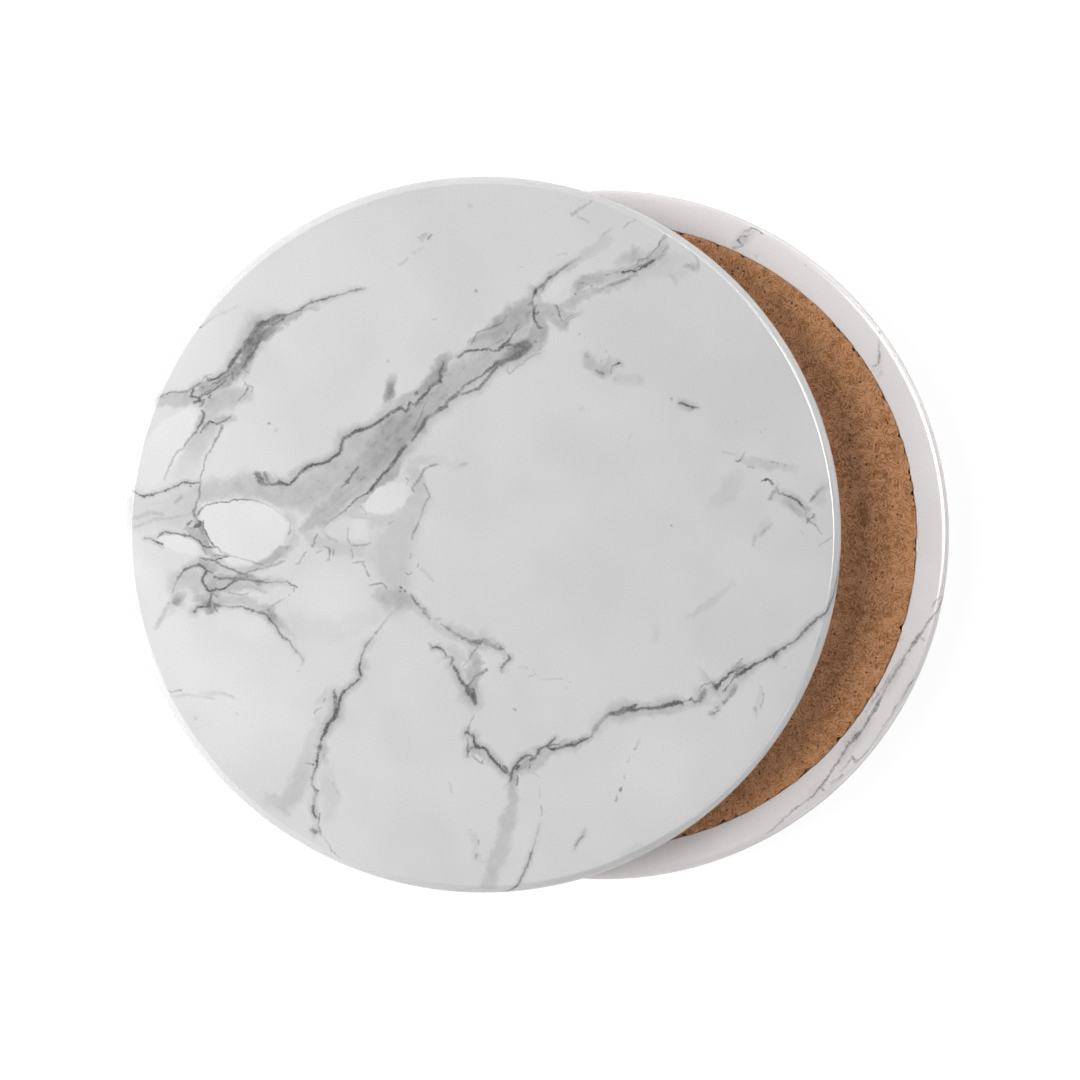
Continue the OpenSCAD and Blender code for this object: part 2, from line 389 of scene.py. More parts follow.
# %% Lay out the main vein
main_vein = [
    [(-31.2, 8.4, .6, .35), (-30.7, 7.7, .7, .5), (-30.2, 7, .6, .3)],
    [(-30.1, 8.6, .6, .2), (-29.8, 7.8), (-29.3, 7)],
    [(-30, 6.9, .85, .2), (-29.3, 6.9), (-28.5, 6.9), (-27.8, 7.2, 1, .3), (-27.3, 7, .85, .2),
     (-26.5, 7), (-26, 7.4), (-25.5, 8), (-25, 8.7), (-24.6, 9), (-24, 9.4, .95), (-23, 9.7),
     (-22, 9.9), (-21, 10.3), (-20.3, 10.8), (-19.8, 11.2, 1, .22), (-19.6, 11.8), (-19.4, 12.5),
     (-19.2, 13.2)],
    [(-19.2, 13.2, .95, .22), (-18.6, 13.6), (-18, 13.9), (-17.4, 14.3), (-16.7, 14.5),
     (-16, 14.6, .9), (-15.4, 14.9), (-14.7, 15.3), (-14, 15.8), (-13.2, 16.3), (-12.6, 16.8),
     (-12, 17.1), (-11.2, 17.5)],
    [(-11.2, 17.5, .8, .2), (-10.6, 17), (-10.2, 17.5), (-10, 18.2), (-9.3, 17.8)],
    [(-9.3, 17.8, .8, .2), (-8.7, 18.6), (-8.2, 19.2), (-7.6, 19.6), (-7.3, 20.3), (-6.8, 20.6),
     (-6.3, 20.9), (-5.8, 21.2, .9, .25)],
    [(-5.8, 21.2, .9, .2), (-5.7, 21.7), (-6, 22.3), (-5.7, 22.8), (-5.5, 23.2), (-5.4, 23.8, .6)],
    [(-22, 1, .25, .12), (-21, 1.9), (-20, 2.6, .3), (-19, 3.3), (-18, 4.3, .6, .15), (-17.3, 5),
     (-16.5, 5.4, .8), (-16, 5.6), (-15.4, 6.2, .9, .2), (-15, 6.8), (-14.3, 7.5), (-13.8, 8.3),
     (-13, 9, .95, .25), (-12.5, 9.7), (-12, 10.3, .8), (-11.5, 11), (-11, 11.9),
     (-10.6, 12.2, .6)],
    [(-9.7, 13, .6, .2), (-9.3, 13.6), (-8.9, 14.2), (-8.5, 14.6, .8, .25), (-8.2, 15.1),
     (-7.9, 15.8), (-7.2, 16.4, .6), (-6.6, 16.8), (-5.8, 17.3, .8, .3), (-5.1, 17.7),
     (-4.9, 18.3, .6), (-4.3, 18.8), (-3.7, 19.2, .7, .25), (-3.2, 19.7)],
    [(-9.6, 14.3, .4, .08), (-9.2, 15), (-8.7, 16), (-8.3, 17), (-8, 17.7), (-7.5, 19, .2)],
    [(-3, 20, .5, .15), (-2.3, 20.7), (-1.2, 21.3, .6), (0, 21.9), (.5, 22.5, .8, .2), (1, 22.9),
     (1.6, 23.3), (2.2, 23.8)],
    [(-3, 19.4, .6, .2), (-1.8, 19.7), (-.5, 20.1), (0, 20.7), (.6, 21.5, .7), (1.2, 22.3),
     (2, 23.1)],
    [(2, 23.6, .7, .35), (3, 23.9), (4, 24.3, .7, .4), (5, 24.8), (5.8, 25.6),
     (6.5, 26.3, .85, .5)],
    [(-3.3, 24.5, .5, .15), (-2.5, 25.1, .7), (-1.8, 25.4), (-1, 25.5, .8), (0, 25.4), (.8, 25.6),
     (1.5, 25.3), (2.2, 25.5, .9), (2.8, 25.8), (3.3, 26.1, .8, .2), (3.8, 26.2), (4.5, 26, .8, .3),
     (5.2, 26.1, .9, .4), (6.2, 26.5, .9, .45)],
    [(2.3, 25.7, 1, .15), (3, 26.3), (3.5, 26.6), (3.8, 27, .5, .12), (4.1, 27.6, .35), (4.6, 28.3),
     (5, 29, .3)],
    [(-1.5, 26.3, .35, .12), (-.8, 27.8), (1, 28.5), (2.5, 29), (3.3, 30)],
    [(3.7, 22.1, .3), (4.5, 22.8), (5.3, 23.4), (6, 24), (7, 24.7), (8, 25, .15)],
    [(3.7, 22.1, .25), (3.4, 22.8), (3.6, 23.4)],
    [(-19.5, 6.5, .6, .15), (-19, 6.9), (-18.6, 7.2, 1, .25), (-18.2, 8, .6, .15), (-17.8, 8.6),
     (-17.2, 9.3)],
    [(-12.6, 20.5, .4, .4), (-12.6, 19.3, .5, .5), (-13, 18.3, .15), (-13.7, 17.4),
     (-14.5, 16.5, .1)]]
main_spots = [
    (-9.1, 19.5, .8, .3), (7.4, 26.5, .8, .22), (-29.4, 15.3, .5, .2), (-28.4, 14.4, .15, .3),
    (-13, 24, .3, .25), (-17.7, 15.4, .3, .15)]

# %% Lay out the middle of the face
middle_marks = [
    [(-30, -4, .12, .5), (-28.5, -3.2), (-27.5, -2, .15), (-26.9, -1.7, .25, .2)],
    [(-26.7, 0, .5, .12), (-26.4, .5)],
    [(-23.6, -1.6, .5, .15), (-23.2, -1), (-23, -.4), (-22.8, -.1)],
    [(-24.4, -2.4, .5, .12), (-24.7, -2.9)],
    [(-24.4, -2.5, .25, .12), (-25, -3.4), (-25.4, -4), (-25.8, -4)],
    [(-22.8, -2.5, .3, .12), (-22.3, -2.3)],
    [(-21.7, -1.6, .35, .12), (-21.1, -2), (-21, -2.7), (-21.2, -3.4), (-21.5, -3.6)],
    [(-20.6, -2.2, .3, .12), (-20.5, -2.8)],
    [(-22, 1, .15, .2), (-22, .4), (-21.3, -.3), (-20, -1)],
    [(-18.5, 1, .2, .12), (-18.6, -.5), (-18.3, -1.2)],
    [(-18, -1.5, .25, .12), (-16.5, -1.5), (-15.5, -1.2)],
    [(-18.2, -2, .25, .12), (-17.9, -2.6), (-18, -3.4)],
    [(-17.9, -3.9, .3, .12), (-17, -3.8), (-16.3, -3.8)],
    [(-16.6, -4.1, .35, .12), (-16.2, -4.4), (-15.9, -5.1), (-15.6, -5.8)],
    [(-15.6, -7.1, .3, .12), (-14.8, -6.8), (-13.9, -6.6, .4), (-13.6, -7), (-13.2, -7.4)],
    [(-16.9, 4, .3, .12), (-16.5, 3.4), (-16, 2.9)],
    [(-13, 1.4, .3, .12), (-12.6, 1.6), (-12.2, 1.9)],
    [(-10.6, 7.9, .3, .12), (-10.2, 7.5), (-10.5, 6.7)],
    [(-9.8, 6.2, .4, .18), (-9.3, 7), (-8.8, 7.5), (-8.4, 8.1), (-8.2, 8.8), (-7.8, 9.2), (-7, 9.5),
     (-6.2, 9.7, .25)],
    [(-8.1, 7, .35, .15), (-7.7, 6.4), (-7.4, 5.7), (-7.4, 5.1), (-7.8, 4.5), (-8, 4), (-8.2, 3.3),
     (-8.6, 2.2), (-9, 1.3), (-9.6, .3), (-9.7, -.7)],
    [(-9.9, -2.5, .25, .15), (-10, -3.2)], [(-9, -4.4, .5, .12), (-8.8, -4.1)],
    [(-8.5, -4.7, .12, .2), (-7.6, -5.5), (-6.8, -6.5)],
    [(-10.7, -5.2, .35, .12), (-10.2, -5.6), (-9.8, -5.3)], [(-3.2, 9.5, .15, .15), (-2, 9.8)]]
middle_spots = [
    (-12, -9.3, .16, 2.2), (-11.3, -7.3, .8, .25), (-10.7, -7.8, .8, .2), (-11.4, -7.8, .5, .2),
    (-9.6, 6, .4, .2), (-2.8, 11.8, .15, .2)]

# %% Lay out the upper right veins
upper_right_vein = [
    [(8, 28.5, 1, .2), (7.6, 28.8, .7, .15), (7.2, 29.4, .8), (7, 30.1, .9), (7, 30.8, .9, .2),
     (7.1, 31.3, .8), (6.9, 31.8), (6.9, 32.4, .7, .15), (7, 32.9), (7.3, 33.3, .9, .2)],
    [(7.3, 33.3, 1, .25), (7.4, 33.7), (7.6, 34, .8, .15), (8.1, 34.2, .7), (8.6, 34.7, .5),
     (9, 35.2, .6, .2), (9.5, 35.6, .65), (10.1, 35.9), (10.6, 36.4, .45), (11.1, 36.8),
     (11.9, 37.3, .3), (12.7, 37.8), (13.5, 38.2, .12)],
    [(7.2, 30.2, .7, .15), (7.4, 30.4), (7.8, 30.7)], [(7, 31.2, .5, .15), (7.4, 31.6)],
    [(6.4, 31.6, .4, .2), (6.9, 32.1)], [(8.2, 33.8, .4), (8.7, 34.4)],
    [(10, 31.6, .3, .15), (10.3, 31.4, .5), (10.5, 30.8, .3), (10.6, 30.3, .7, .18),
     (10.8, 29.8, .4, .12), (10.9, 29.5, .5)],
    [(11.1, 29.4, .4, .08), (12.5, 30.4, .25)], [(11.3, 29.1, .4, .08), (12.7, 30.1, .2)],
    [(11.4, 28.8, .3, .08), (12.3, 29.4, .15)], [(13.2, 34.6, .3, .15), (13.8, 34.7), (14.4, 34.5)],
    [(16.9, 35.9, .45, .12), (17.6, 35.9)], [(18, 36.1, .15, .12), (19.1, 36.2, .3)],
    [(19.2, 36.2, .95, .15), (20, 36.3), (20.3, 36.5), (20.8, 36.3, 1), (21.2, 36.4, .8, .1),
     (21.7, 36.5), (22, 36.9, .9, .15), (22.5, 37.1, 1, .2), (22.9, 37.4), (23.3, 37.7),
     (23.8, 38, .7)],
    [(20.8, 36.6, .3, .08), (21.4, 36.9, .4), (21.9, 37.1)],
    [(21.5, 37.7, .3, .2), (22.1, 37.9, .5), (22.8, 38.1, .55, .25), (23.1, 38.4, .4, .2),
     (23.6, 39.1, .4, .12), (24, 39.5, .5), (24.3, 40), (24.7, 40.6, .4, .2),
     (25.2, 41.2, .25, .3)],
    [(24.2, 37.9, .2, .25), (24.8, 38.5, .22), (25.2, 39.1), (25.6, 39.7, .12)],
    [(15.8, 33.6, .12, .15), (16.8, 34.1, .2), (17.6, 34.5, .35, .25), (18.8, 34.8),
     (19.6, 35.1, .4), (20.6, 35.6, .25), (21.4, 36)],
    [(19.4, 42.3, .25, .12), (20.2, 43), (21.2, 43.4, .15)],
    [(16.4, 41.2, .15, .15), (17.2, 41.8, .2), (18, 42.3, .08)],
    [(12.3, 44.1, .25, .25), (12.9, 44.6, .3), (13.9, 45.1, .25, .15), (14.5, 45.6, .3),
     (15.2, 46.2)],
    [(13.1, 43.8, .15, .2), (13.9, 43.5), (14.7, 43, .08)], [(10.3, 38.6, .12, .15), (11.7, 38.7)],
    [(5.2, 36.8, .15, .15), (5.6, 36.9)], [(27.9, 37.1, .22, .3), (28.5, 37), (29.3, 36.6, .25)],
    [(28.7, 39.3, .15, .2), (29.5, 38.3), (29.7, 37.4, .22), (29.6, 36.2, .15)],
    [(26, 35.8, .08, .3), (26.7, 34.6)], [(15.7, 22.6, .4, .2), (16.7, 22.1)],
    [(18.9, 23.6, .8, .15), (18.5, 23.5, .6, .1), (18, 23.3), (17.8, 22.8, .35), (17.7, 22.3)],
    [(27.1, 18.2, .5, .15), (27.6, 18, .9, .18), (28.3, 17.8), (28.9, 17.6, .9, .15),
     (29.8, 17.5, .4, .1)],
    [(20.1, 13, .08, .15), (20.4, 14)]]
upper_right_spots = [
    (13.4, 27.7, .45, .2), (14.1, 27.2, .3, .15), (12.8, 33.2, .5, .2), (15, 34.3, .7, .2),
    (14.4, 24.7, .3, .4), (16.4, 23.9, .25, .25), (17, 25.3, .25, .2), (18.3, 21.4, .15, .25),
    (13.7, 17.4, .1, .4), (21.8, 21.4, .07, .6), (20.1, 12.2, .2, .15), (26, 18.6, .5, .2),
    (-1.7, 45.4, .15, .4), (-.9, 33.6, .35, .22)]
top_marks = [
    [(-11.6, 37.2, .12, .2), (-10.9, 37.5, .15), (-10.4, 38)],
    [(-7.6, 40.7, .35, .15), (-7.1, 41.3)], [(-9.6, 38.8, .07, .2), (-8.2, 39.6)],
    [(-6.9, 29.6, .15, .12), (-6.3, 29.7)]]

# %% Lay out the right-hand veins
right_marks = [
    [(34.7, 10.2, .15, .12), (35.2, 10.2, .55), (35.7, 10.2)],
    [(35.7, 10.4, .3, .15), (35.9, 10.8), (36.1, 11.3)], [(33, 11.4, .12, .15), (34.9, 11)],
    [(39.8, 10, .25, .12), (40.8, 9.9)], [(36.6, 9.5, .2, .15), (37.4, 9.2)],
    [(38.5, 7.4, .4, .12), (38.9, 7.6, .9, .15), (39.4, 7.6, .95, .16)],
    [(39.4, 7.6, .95, .16), (39.8, 7.4), (40, 6.9, .7)],
    [(40.5, 6.6, .3, .15), (40.6, 6.2), (40.9, 5.7, .4), (41.4, 5.7), (41.8, 5.4, .5),
     (42.4, 5.2, .95), (42.9, 5), (43.3, 4.7), (43.7, 4.4, .9), (44, 4.1), (44.3, 3.6, .5),
     (44.6, 3.2), (44.7, 2.5, .4), (45, 2, .8)],
    [(44.6, 1.5, .3), (45, 2, .8), (45.8, 2.8, .6)],
    [(45, 2, .5, .12), (45.7, 1.5, .3), (46.2, .8, .25), (46.8, 0, .15)],
    [(46.4, -1.7, .2), (46.9, -1.2, .3), (47.8, -.6), (48.3, -.2)],
    [(39.6, 4.8, .3, .2), (39.8, 5.4), (40.3, 6)],
    [(45.2, 4.6, .3, .2), (45.7, 5.2, .45, .25), (46.2, 5.9, .3), (47.2, 6.6, .15)],
    [(38.2, -.2, .15, .2), (38.8, .5, .22, .25), (39.4, 1), (39.9, 1.5, .12)],
    [(37.3, -1.4, .15, .25), (37.6, -.3)], [(44, .5, .12, .12), (44.2, 0)],
    [(44.4, 3.6, .35, .3), (45.2, 3.4, .3)],
    [(41.8, 4.8, .15, .4), (43, 3.6, .2), (44.2, 2.6, .12)]]
right_spots = [
    (35, 15.6, .15, .2), (39, 14.5, .35, .15), (38.4, 14.1, .3, .18), (41.8, 9.5, .25, .25),
    (26.1, 1.2, .5, .15), (41.8, -18.3, .35, .17)]

# %% Lay out the lower vein
lower_vein_right = [
    [(51.5, -3, .4, .25), (50.4, -6, .5), (49.8, -7.3, .6), (49.1, -8.8, .8, .2),
     (48.3, -9.8, .9, .16), (47.7, -10.6, .85), (47, -11.1, 1, .14)],
    [(47, -11.1, 1, .14), (46.2, -11.5), (45.8, -11.9, .9), (45.3, -12.4, .8, .18), (44.6, -13.1),
     (44.1, -13.6, .7, .2), (43.4, -14.4, .75, .15), (42.9, -14.8, .5), (42.4, -15.2, .8),
     (42, -15.2, .6), (41.6, -15.7, .8), (41.1, -15.9, .6), (40.6, -16.2, 1, .2),
     (40.2, -16.6, 1, .25), (39.9, -16.9), (39.3, -17, .9, .12), (38.7, -17.3), (38, -17.7),
     (36.9, -18.3, 1, .2), (36.3, -18.6), (35.8, -19, 1, .25), (35, -19.5, .8, .3)],
    [(40.2, -16.3, .7, .15), (40.7, -16.6, .4)],
    [(36.2, -18, .4, .15), (35.5, -18.4, .7, .2), (35.2, -18.7, .9, .25), (34.6, -18.9, .9, .15),
     (34, -19.2, .8), (33.5, -19.7, .9), (33, -20.2, .8), (32.6, -20.7, 1, .22), (32.2, -21, 1, .3),
     (32, -20.9), (31.8, -20.5, .5, .2)],
    [(34.4, -18.6, .2, .12), (35, -17.9, .4, .15), (35.8, -17.2, .45)],
    [(34.8, -18.4, .3, .15), (35.8, -17.8, .35)],
    [(33.2, -21.7, .9, .12), (33.7, -21.2, .8), (34.1, -20.7, .4), (34.4, -20.2, .8, .15),
     (34.7, -19.8, .6), (35, -19.5)],
    [(33.2, -23.2, .5, .25), (33.6, -22.7), (34.1, -22.3, .35, .3), (34.6, -21.5), (35, -20.8, .3)],
    [(32.5, -23.7, .35, .12), (32.1, -24, .3)],
    [(31.3, -24.6, .25, .3), (32, -24.7, .5, .15), (32.6, -24.1, .35)],
    [(31.8, -20.3, .35, .12), (31.3, -20.5), (30.5, -20.7), (30, -21.2, .3), (30, -21.6, .2)],
    [(30.8, -21.4, .3, .3), (30.4, -22.1, .5, .45), (30.1, -22.6, .7, .3), (29.8, -23, .9, .2),
     (29.2, -23.1, .8, .15)],
    [(29.2, -23.1, .6, .12), (28.9, -22.8, .7), (28.8, -22.4, .5)],
    [(28.6, -22.9, .9, .15), (28.8, -22.7)], [(27.7, -23.1, .4, .08), (28.6, -22.9, .5)],
    [(38.8, -21.9, .35, .12), (38.7, -22.5), (38.6, -23.1), (38.4, -24, .12)],
    [(37.6, -23.9, .2, .25), (37.8, -24.6, .25, .15), (37.7, -25.2)]]
lower_vein_middle = [
    [(27.6, -23.3, .8, .2), (27, -23.1, 1, .28), (26, -23.4), (25.2, -23.6, 1, .3),
     (24, -23.9, 1, .25), (23.1, -24, 1, .2), (22.3, -23.9, .95, .18), (21.7, -24.1, .6, .2),
     (21.1, -24.2, .8, .25), (20.2, -24.1, 1, .35), (19.4, -24.3), (18.6, -24.6),
     (17.8, -24.7, .9, .3), (17.2, -24.9, .8, .22), (16.8, -25.3, .35, .3), (16.2, -25.9, .3),
     (15.8, -26.5, .35), (15.3, -27.1, .25), (14.9, -27.7, .4, .15)],
    [(21.3, -23.4, .7, .15), (20.8, -23.7, .9, .2), (20.2, -23.9, .8), (19.4, -24)],
    [(15, -27.9, .6, .12), (14.4, -28.1, 1, .16), (13.8, -28.4), (13.1, -28.8, .9),
     (12.5, -29.1, 1, .22), (11.9, -29.1, .8, .2), (11.1, -29.2, .6, .18), (10.7, -29.3)],
    [(14.2, -28, .4, .2), (13.2, -28.5, .3), (12.2, -28.8, .5)],
    [(10.8, -29.3, .7, .15), (10.4, -29.5, .95, .18), (9.9, -29.6, 1), (9.3, -29.5, .8, .15),
     (9, -29.2)],
    [(10.6, -28.9, .5, .15), (9.7, -29), (9.1, -29.1)],
    [(10, -28.1, .7, .12), (9.5, -28.6, .85), (9, -29.1, .8), (8.6, -29.3, .6), (8.1, -29.4, .7),
     (7.8, -29.7, .9, .15), (7.7, -30.1, 1, .2)],
    [(7.7, -30.1, .9, .16), (7.4, -30.6, .8, .14), (7, -30.9, 1, .18), (6.6, -31.2, 1, .22)],
    [(6.5, -31.2, .7, .12), (6.8, -30.7), (6.7, -30.4, .8)],
    [(6.7, -30.4, .8, .15), (6.2, -30.4, 1), (5.7, -30.7, 1, .18), (5.1, -31.2), (4.7, -31.7),
     (4.4, -32.1, .9), (4.1, -32.6, .95, .15), (4, -33.1, .7)],
    [(5, -31.8, .8, .2), (4.8, -32.2, .9), (4.5, -32.4, .5)],
    [(6.5, -31.7, .6, .15), (6.4, -32.2, .7)],
    [(3.9, -33.9, .8, .18), (4, -33.2, .6), (3.5, -32.9, .35, .25), (3.1, -32.7, .8, .2),
     (2.8, -32.5, 1, .18), (2.4, -32.1), (1.8, -31.4, 1, .2), (1.2, -30.8), (.8, -30.1, 1, .17),
     (.4, -29.6), (0, -29.3, 1, .14), (-.4, -29.4, .8), (-.7, -29.3, 1, .2), (-1, -29.2)],
    [(3.4, -32.5, .7, .2), (3.2, -32.2, .9, .22), (2.8, -31.9, .7, .18)],
    [(-1, -29.2, .95, .14), (-1.1, -28.7), (-1.1, -28.1, 1, .18), (-1.3, -27.8, 1, .22)],
    [(-1.3, -27.8, 1, .22), (-1.7, -27.6, .7, .12), (-2.1, -27.2, 1, .25), (-2.4, -27.4, .6, .15)],
    [(-2.1, -27.1, .5, .12), (-2, -26.5, .3, .1), (-1.7, -25.9, .35), (-1.3, -25.3, .5, .12),
     (-1.1, -24.7, .1)],
    [(-2, -28.1, .3, .15), (-2, -29, .35), (-2, -29.8, .7), (-2.1, -30.6, .5)],
    [(-1.6, -30.5, .2, .12), (-1, -30.8, .5), (-.4, -31.4, .35), (0, -31.6, .4), (0, -31.2, .3)],
    [(-1.9, -29.7, .3, .15), (-1.3, -29.3, .4)],
    [(4.8, -33.2, .5, .12), (4.8, -34.2), (4.6, -34.6, .3)],
    [(6.8, -32.8, .15, .12), (7.8, -33.4, .12)]]
lower_vein_left = [
    [(-9.9, -8.2, .35, .15), (-9.8, -8.4, .5), (-9.4, -9), (-9, -9.6, .55), (-8.7, -10, .3),
     (-8.1, -10.2, .4, .25), (-7.9, -10.7, .35, .3), (-7.6, -11.2, .3, .2), (-7.3, -11.6, .4)],
    [(-6.7, -11.7, .12, .2), (-5.9, -11.7, .2, .3)],
    [(-5.8, -12.4, .3, .12), (-5.2, -12.7, .35), (-4.7, -12.9, .7, .25), (-4.2, -13.3, .35, .2),
     (-3.9, -13.7, .45), (-3.2, -13.9, .3), (-2.6, -14.3, .55), (-2.2, -14.5, .35),
     (-1.6, -14.8, .4, .3), (-.9, -14.9, .65, .4), (-.2, -14.8, .65, .35), (.2, -14.6, .4),
     (.9, -15.1, .2), (1.8, -15.5, .4, .2), (2.4, -15.8, .7, .15)],
    [(1.8, -15.5, .35, .12), (1.9, -15.1), (2.3, -15.1), (2.5, -15.7, .8, .16), (3, -16, .15),
     (3.4, -16.5), (3.7, -17, .8)],
    [(3.7, -17, .7, .15), (3.2, -17.7, .45), (2.7, -18.4, .5, .2), (2.6, -19, .2)],
    [(-7.4, -14.9, .25, .15), (-7, -15.7, .3)],
    [(-6.9, -15.6, .5, .12), (-6.5, -15.5, .95, .16), (-5.9, -15.6, .7, .13), (-5.4, -15.9),
     (-5.1, -16.4, .6), (-4.9, -16.7, .4)],
    [(-4.9, -16.9, .3, .2), (-4.3, -16.9, .4), (-4.2, -17.4, .75), (-4.3, -17.9, .6)],
    [(-4.1, -18, .4, .15), (-3.7, -18.5, .75, .22), (-3.4, -19.2, .75, .25), (-3.1, -20, .9, .2),
     (-2.7, -20.6, 1), (-2.2, -21.1, 1, .28), (-1.9, -21.6, .95, .4), (-1.5, -22.2, .95, .38),
     (-1.1, -22.8, 1, .3), (-.9, -23.4, 1, .25)],
    [(-2, -21.6, .6, .3), (-1.8, -22.2, .5)],
    [(-1.4, -21.3, .7, .25), (-1.2, -22.2, .8, .3), (-.8, -23, .7, .2)],
    [(.6, -18.6, .5, .2), (.2, -18.9), (-.3, -19.2, .4), (-.8, -19.4), (-1.2, -19.8, .4, .12),
     (-1.6, -20.3), (-2, -20.8, .5)],
    [(-.7, -15.4, .5, .12), (-1.1, -16.1, .4), (-1.6, -16.7, .3), (-2.2, -17.6, .15),
     (-2.7, -18.3)],
    [(-12.3, -10.7, .2, .15), (-13.2, -11.6), (-14.1, -12.8), (-14.8, -13.7, .4, .18)],
    [(-15, -14, .15, .15), (-15.7, -14.9, .55, .18), (-16.3, -15.9, .3, .15), (-16.6, -16.5, .35),
     (-16.8, -17.3, .5), (-17, -18.3, .8), (-17, -18.8, 1, .18), (-16.8, -19.5, .9)],
    [(-16.9, -19.8, .8, .16), (-17.5, -20.4), (-18.1, -20.8, .9, .18), (-18.4, -21.2), (-19, -21.4),
     (-19.4, -22, .95), (-19.7, -22.9), (-19.9, -23.7, .95, .2), (-20.1, -24.4, 1, .28),
     (-20.3, -25, 1, .3), (-20.8, -25.6, 1, .25), (-21.2, -26.1), (-21.6, -26.8, 1, .22),
     (-21.9, -27.5, 1, .2), (-22.2, -28.1, .9, .17), (-22.4, -28.7, .6, .14)],
    [(-20.5, -21.5, .6, .2), (-20.3, -22.5, .8, .28), (-20.3, -23.5), (-20.2, -24.6, .9)]]
lower_vein_end = [
    [(-22.4, -28.7, .7, .16), (-22.4, -29.3, 1, .3), (-22.5, -29.9, .7, .15), (-22.7, -30.5),
     (-22.8, -31.2, 1, .2), (-22.9, -31.9, .7, .15), (-23.2, -32.5, .5), (-23.4, -33.2),
     (-23.4, -33.5, .8), (-23.6, -34.1, .35), (-23.5, -34.6, .4)],
    [(-23.4, -34.8, .5, .15), (-23.1, -35.1, .9, .2), (-22.8, -35.4, 1, .22)],
    [(-22.9, -35.6, .4, .22), (-23.1, -36.2, .3, .25), (-23.3, -36.9, .35, .2),
     (-23.4, -37.5, .9, .15), (-23.3, -38.2, .95), (-23, -39, .85, .13)],
    [(-24.4, -31.6, .2, .12), (-23.6, -31.6, .3), (-23.3, -31.7, .9, .15)],
    [(-21.9, -30.4, .2, .2), (-22, -31, .18)],
    [(-22.5, -38.5, .35, .12), (-22.5, -39.4, .5), (-22.6, -40.2, .35), (-22.4, -40.9, .4),
     (-22.1, -41.5, .15), (-21.3, -42.7), (-20.9, -43.4, .35), (-20.4, -44), (-19.8, -45, .2)],
    [(-23.8, -40.8, .3, .12), (-23.5, -40.8, .7, .2), (-23.1, -41, .95, .25),
     (-22.7, -40.9, .7, .15)],
    [(-20.7, -34.1, .12, .15), (-20.3, -35), (-19.7, -36, .15)],
    [(-21.6, -22.5, .3, .12), (-21.9, -23.2)],
    [(-22.3, -23.8, .3, .12), (-22.8, -24.2), (-23.2, -24.7)]]
bottom_marks = [
    [(7.9, -39.8, .1, .15), (7.4, -41.8, .2), (7, -43.4, .3, .12), (6.7, -44, .6), (6.5, -44.8, .7),
     (6.2, -45.5, .6), (5.9, -46.2), (5.6, -46.9, .5), (5.3, -47.6, .4), (5, -48.2), (4.6, -49, .7),
     (4.1, -49.8, .95), (3, -51.5, .8)],
    [(8.1, -37.2, .3, .12), (8.2, -38), (8.1, -38.9, .15)], [(7.8, -35, .1, .12), (8, -36.4)],
    [(-.6, -42.2, .25, .15), (-.7, -42.8)], [(-.8, -44.1, .3, .15), (-1, -44.7)],
    [(14.2, -40.6, .1, .25), (13.9, -41.5, .2), (13.7, -41.7, .6, .12), (13.3, -42.2, .7),
     (12.9, -42.8, .6, .1), (12.7, -43.3, .3)],
    [(21.8, -28.2, .06, .2), (21.2, -29.2, .12), (20.9, -29.6, .3, .15)],
    [(20.3, -30.6, .08, .12), (20, -31.5, .15)], [(19.7, -33.1, .1, .12), (19.5, -33.7, .2)],
    [(19.2, -34.8, .45, .15), (18.9, -35.4)], [(18.6, -35.8, .1), (18.4, -36.7, .35, .13)],
    [(5, -18.2, .1, .15), (6.2, -18.4)],
    [(8.1, -20, .1, .12), (9.1, -20.1, .13), (9.9, -19.9), (11.1, -19.9, .14)],
    [(6.2, -19.7, .12), (7, -19.4)], [(4.2, -24, .3, .12), (4.6, -24.3)],
    [(46.6, -14.2, .15, .2), (46.2, -15.8)], [(-4.5, -34.2, .08, .2), (-4.3, -35.6)]]
bottom_spots = [
    (7.2, -19.3, .35, .14), (12.1, -20.4, .3, .15), (7, -18.7, .12, .2), (0, -45.2, .2, .2),
    (-1.7, -40.8, .12, .3), (11.5, -21.1, .08, .3), (-16, -18, .1, .9)]

# %% [markdown]
# Between the cracks lie soft grey washes, as wide as a finger in places, and a few islands
# that stay nearly white. They are strokes as well, with a half width that follows the shape.

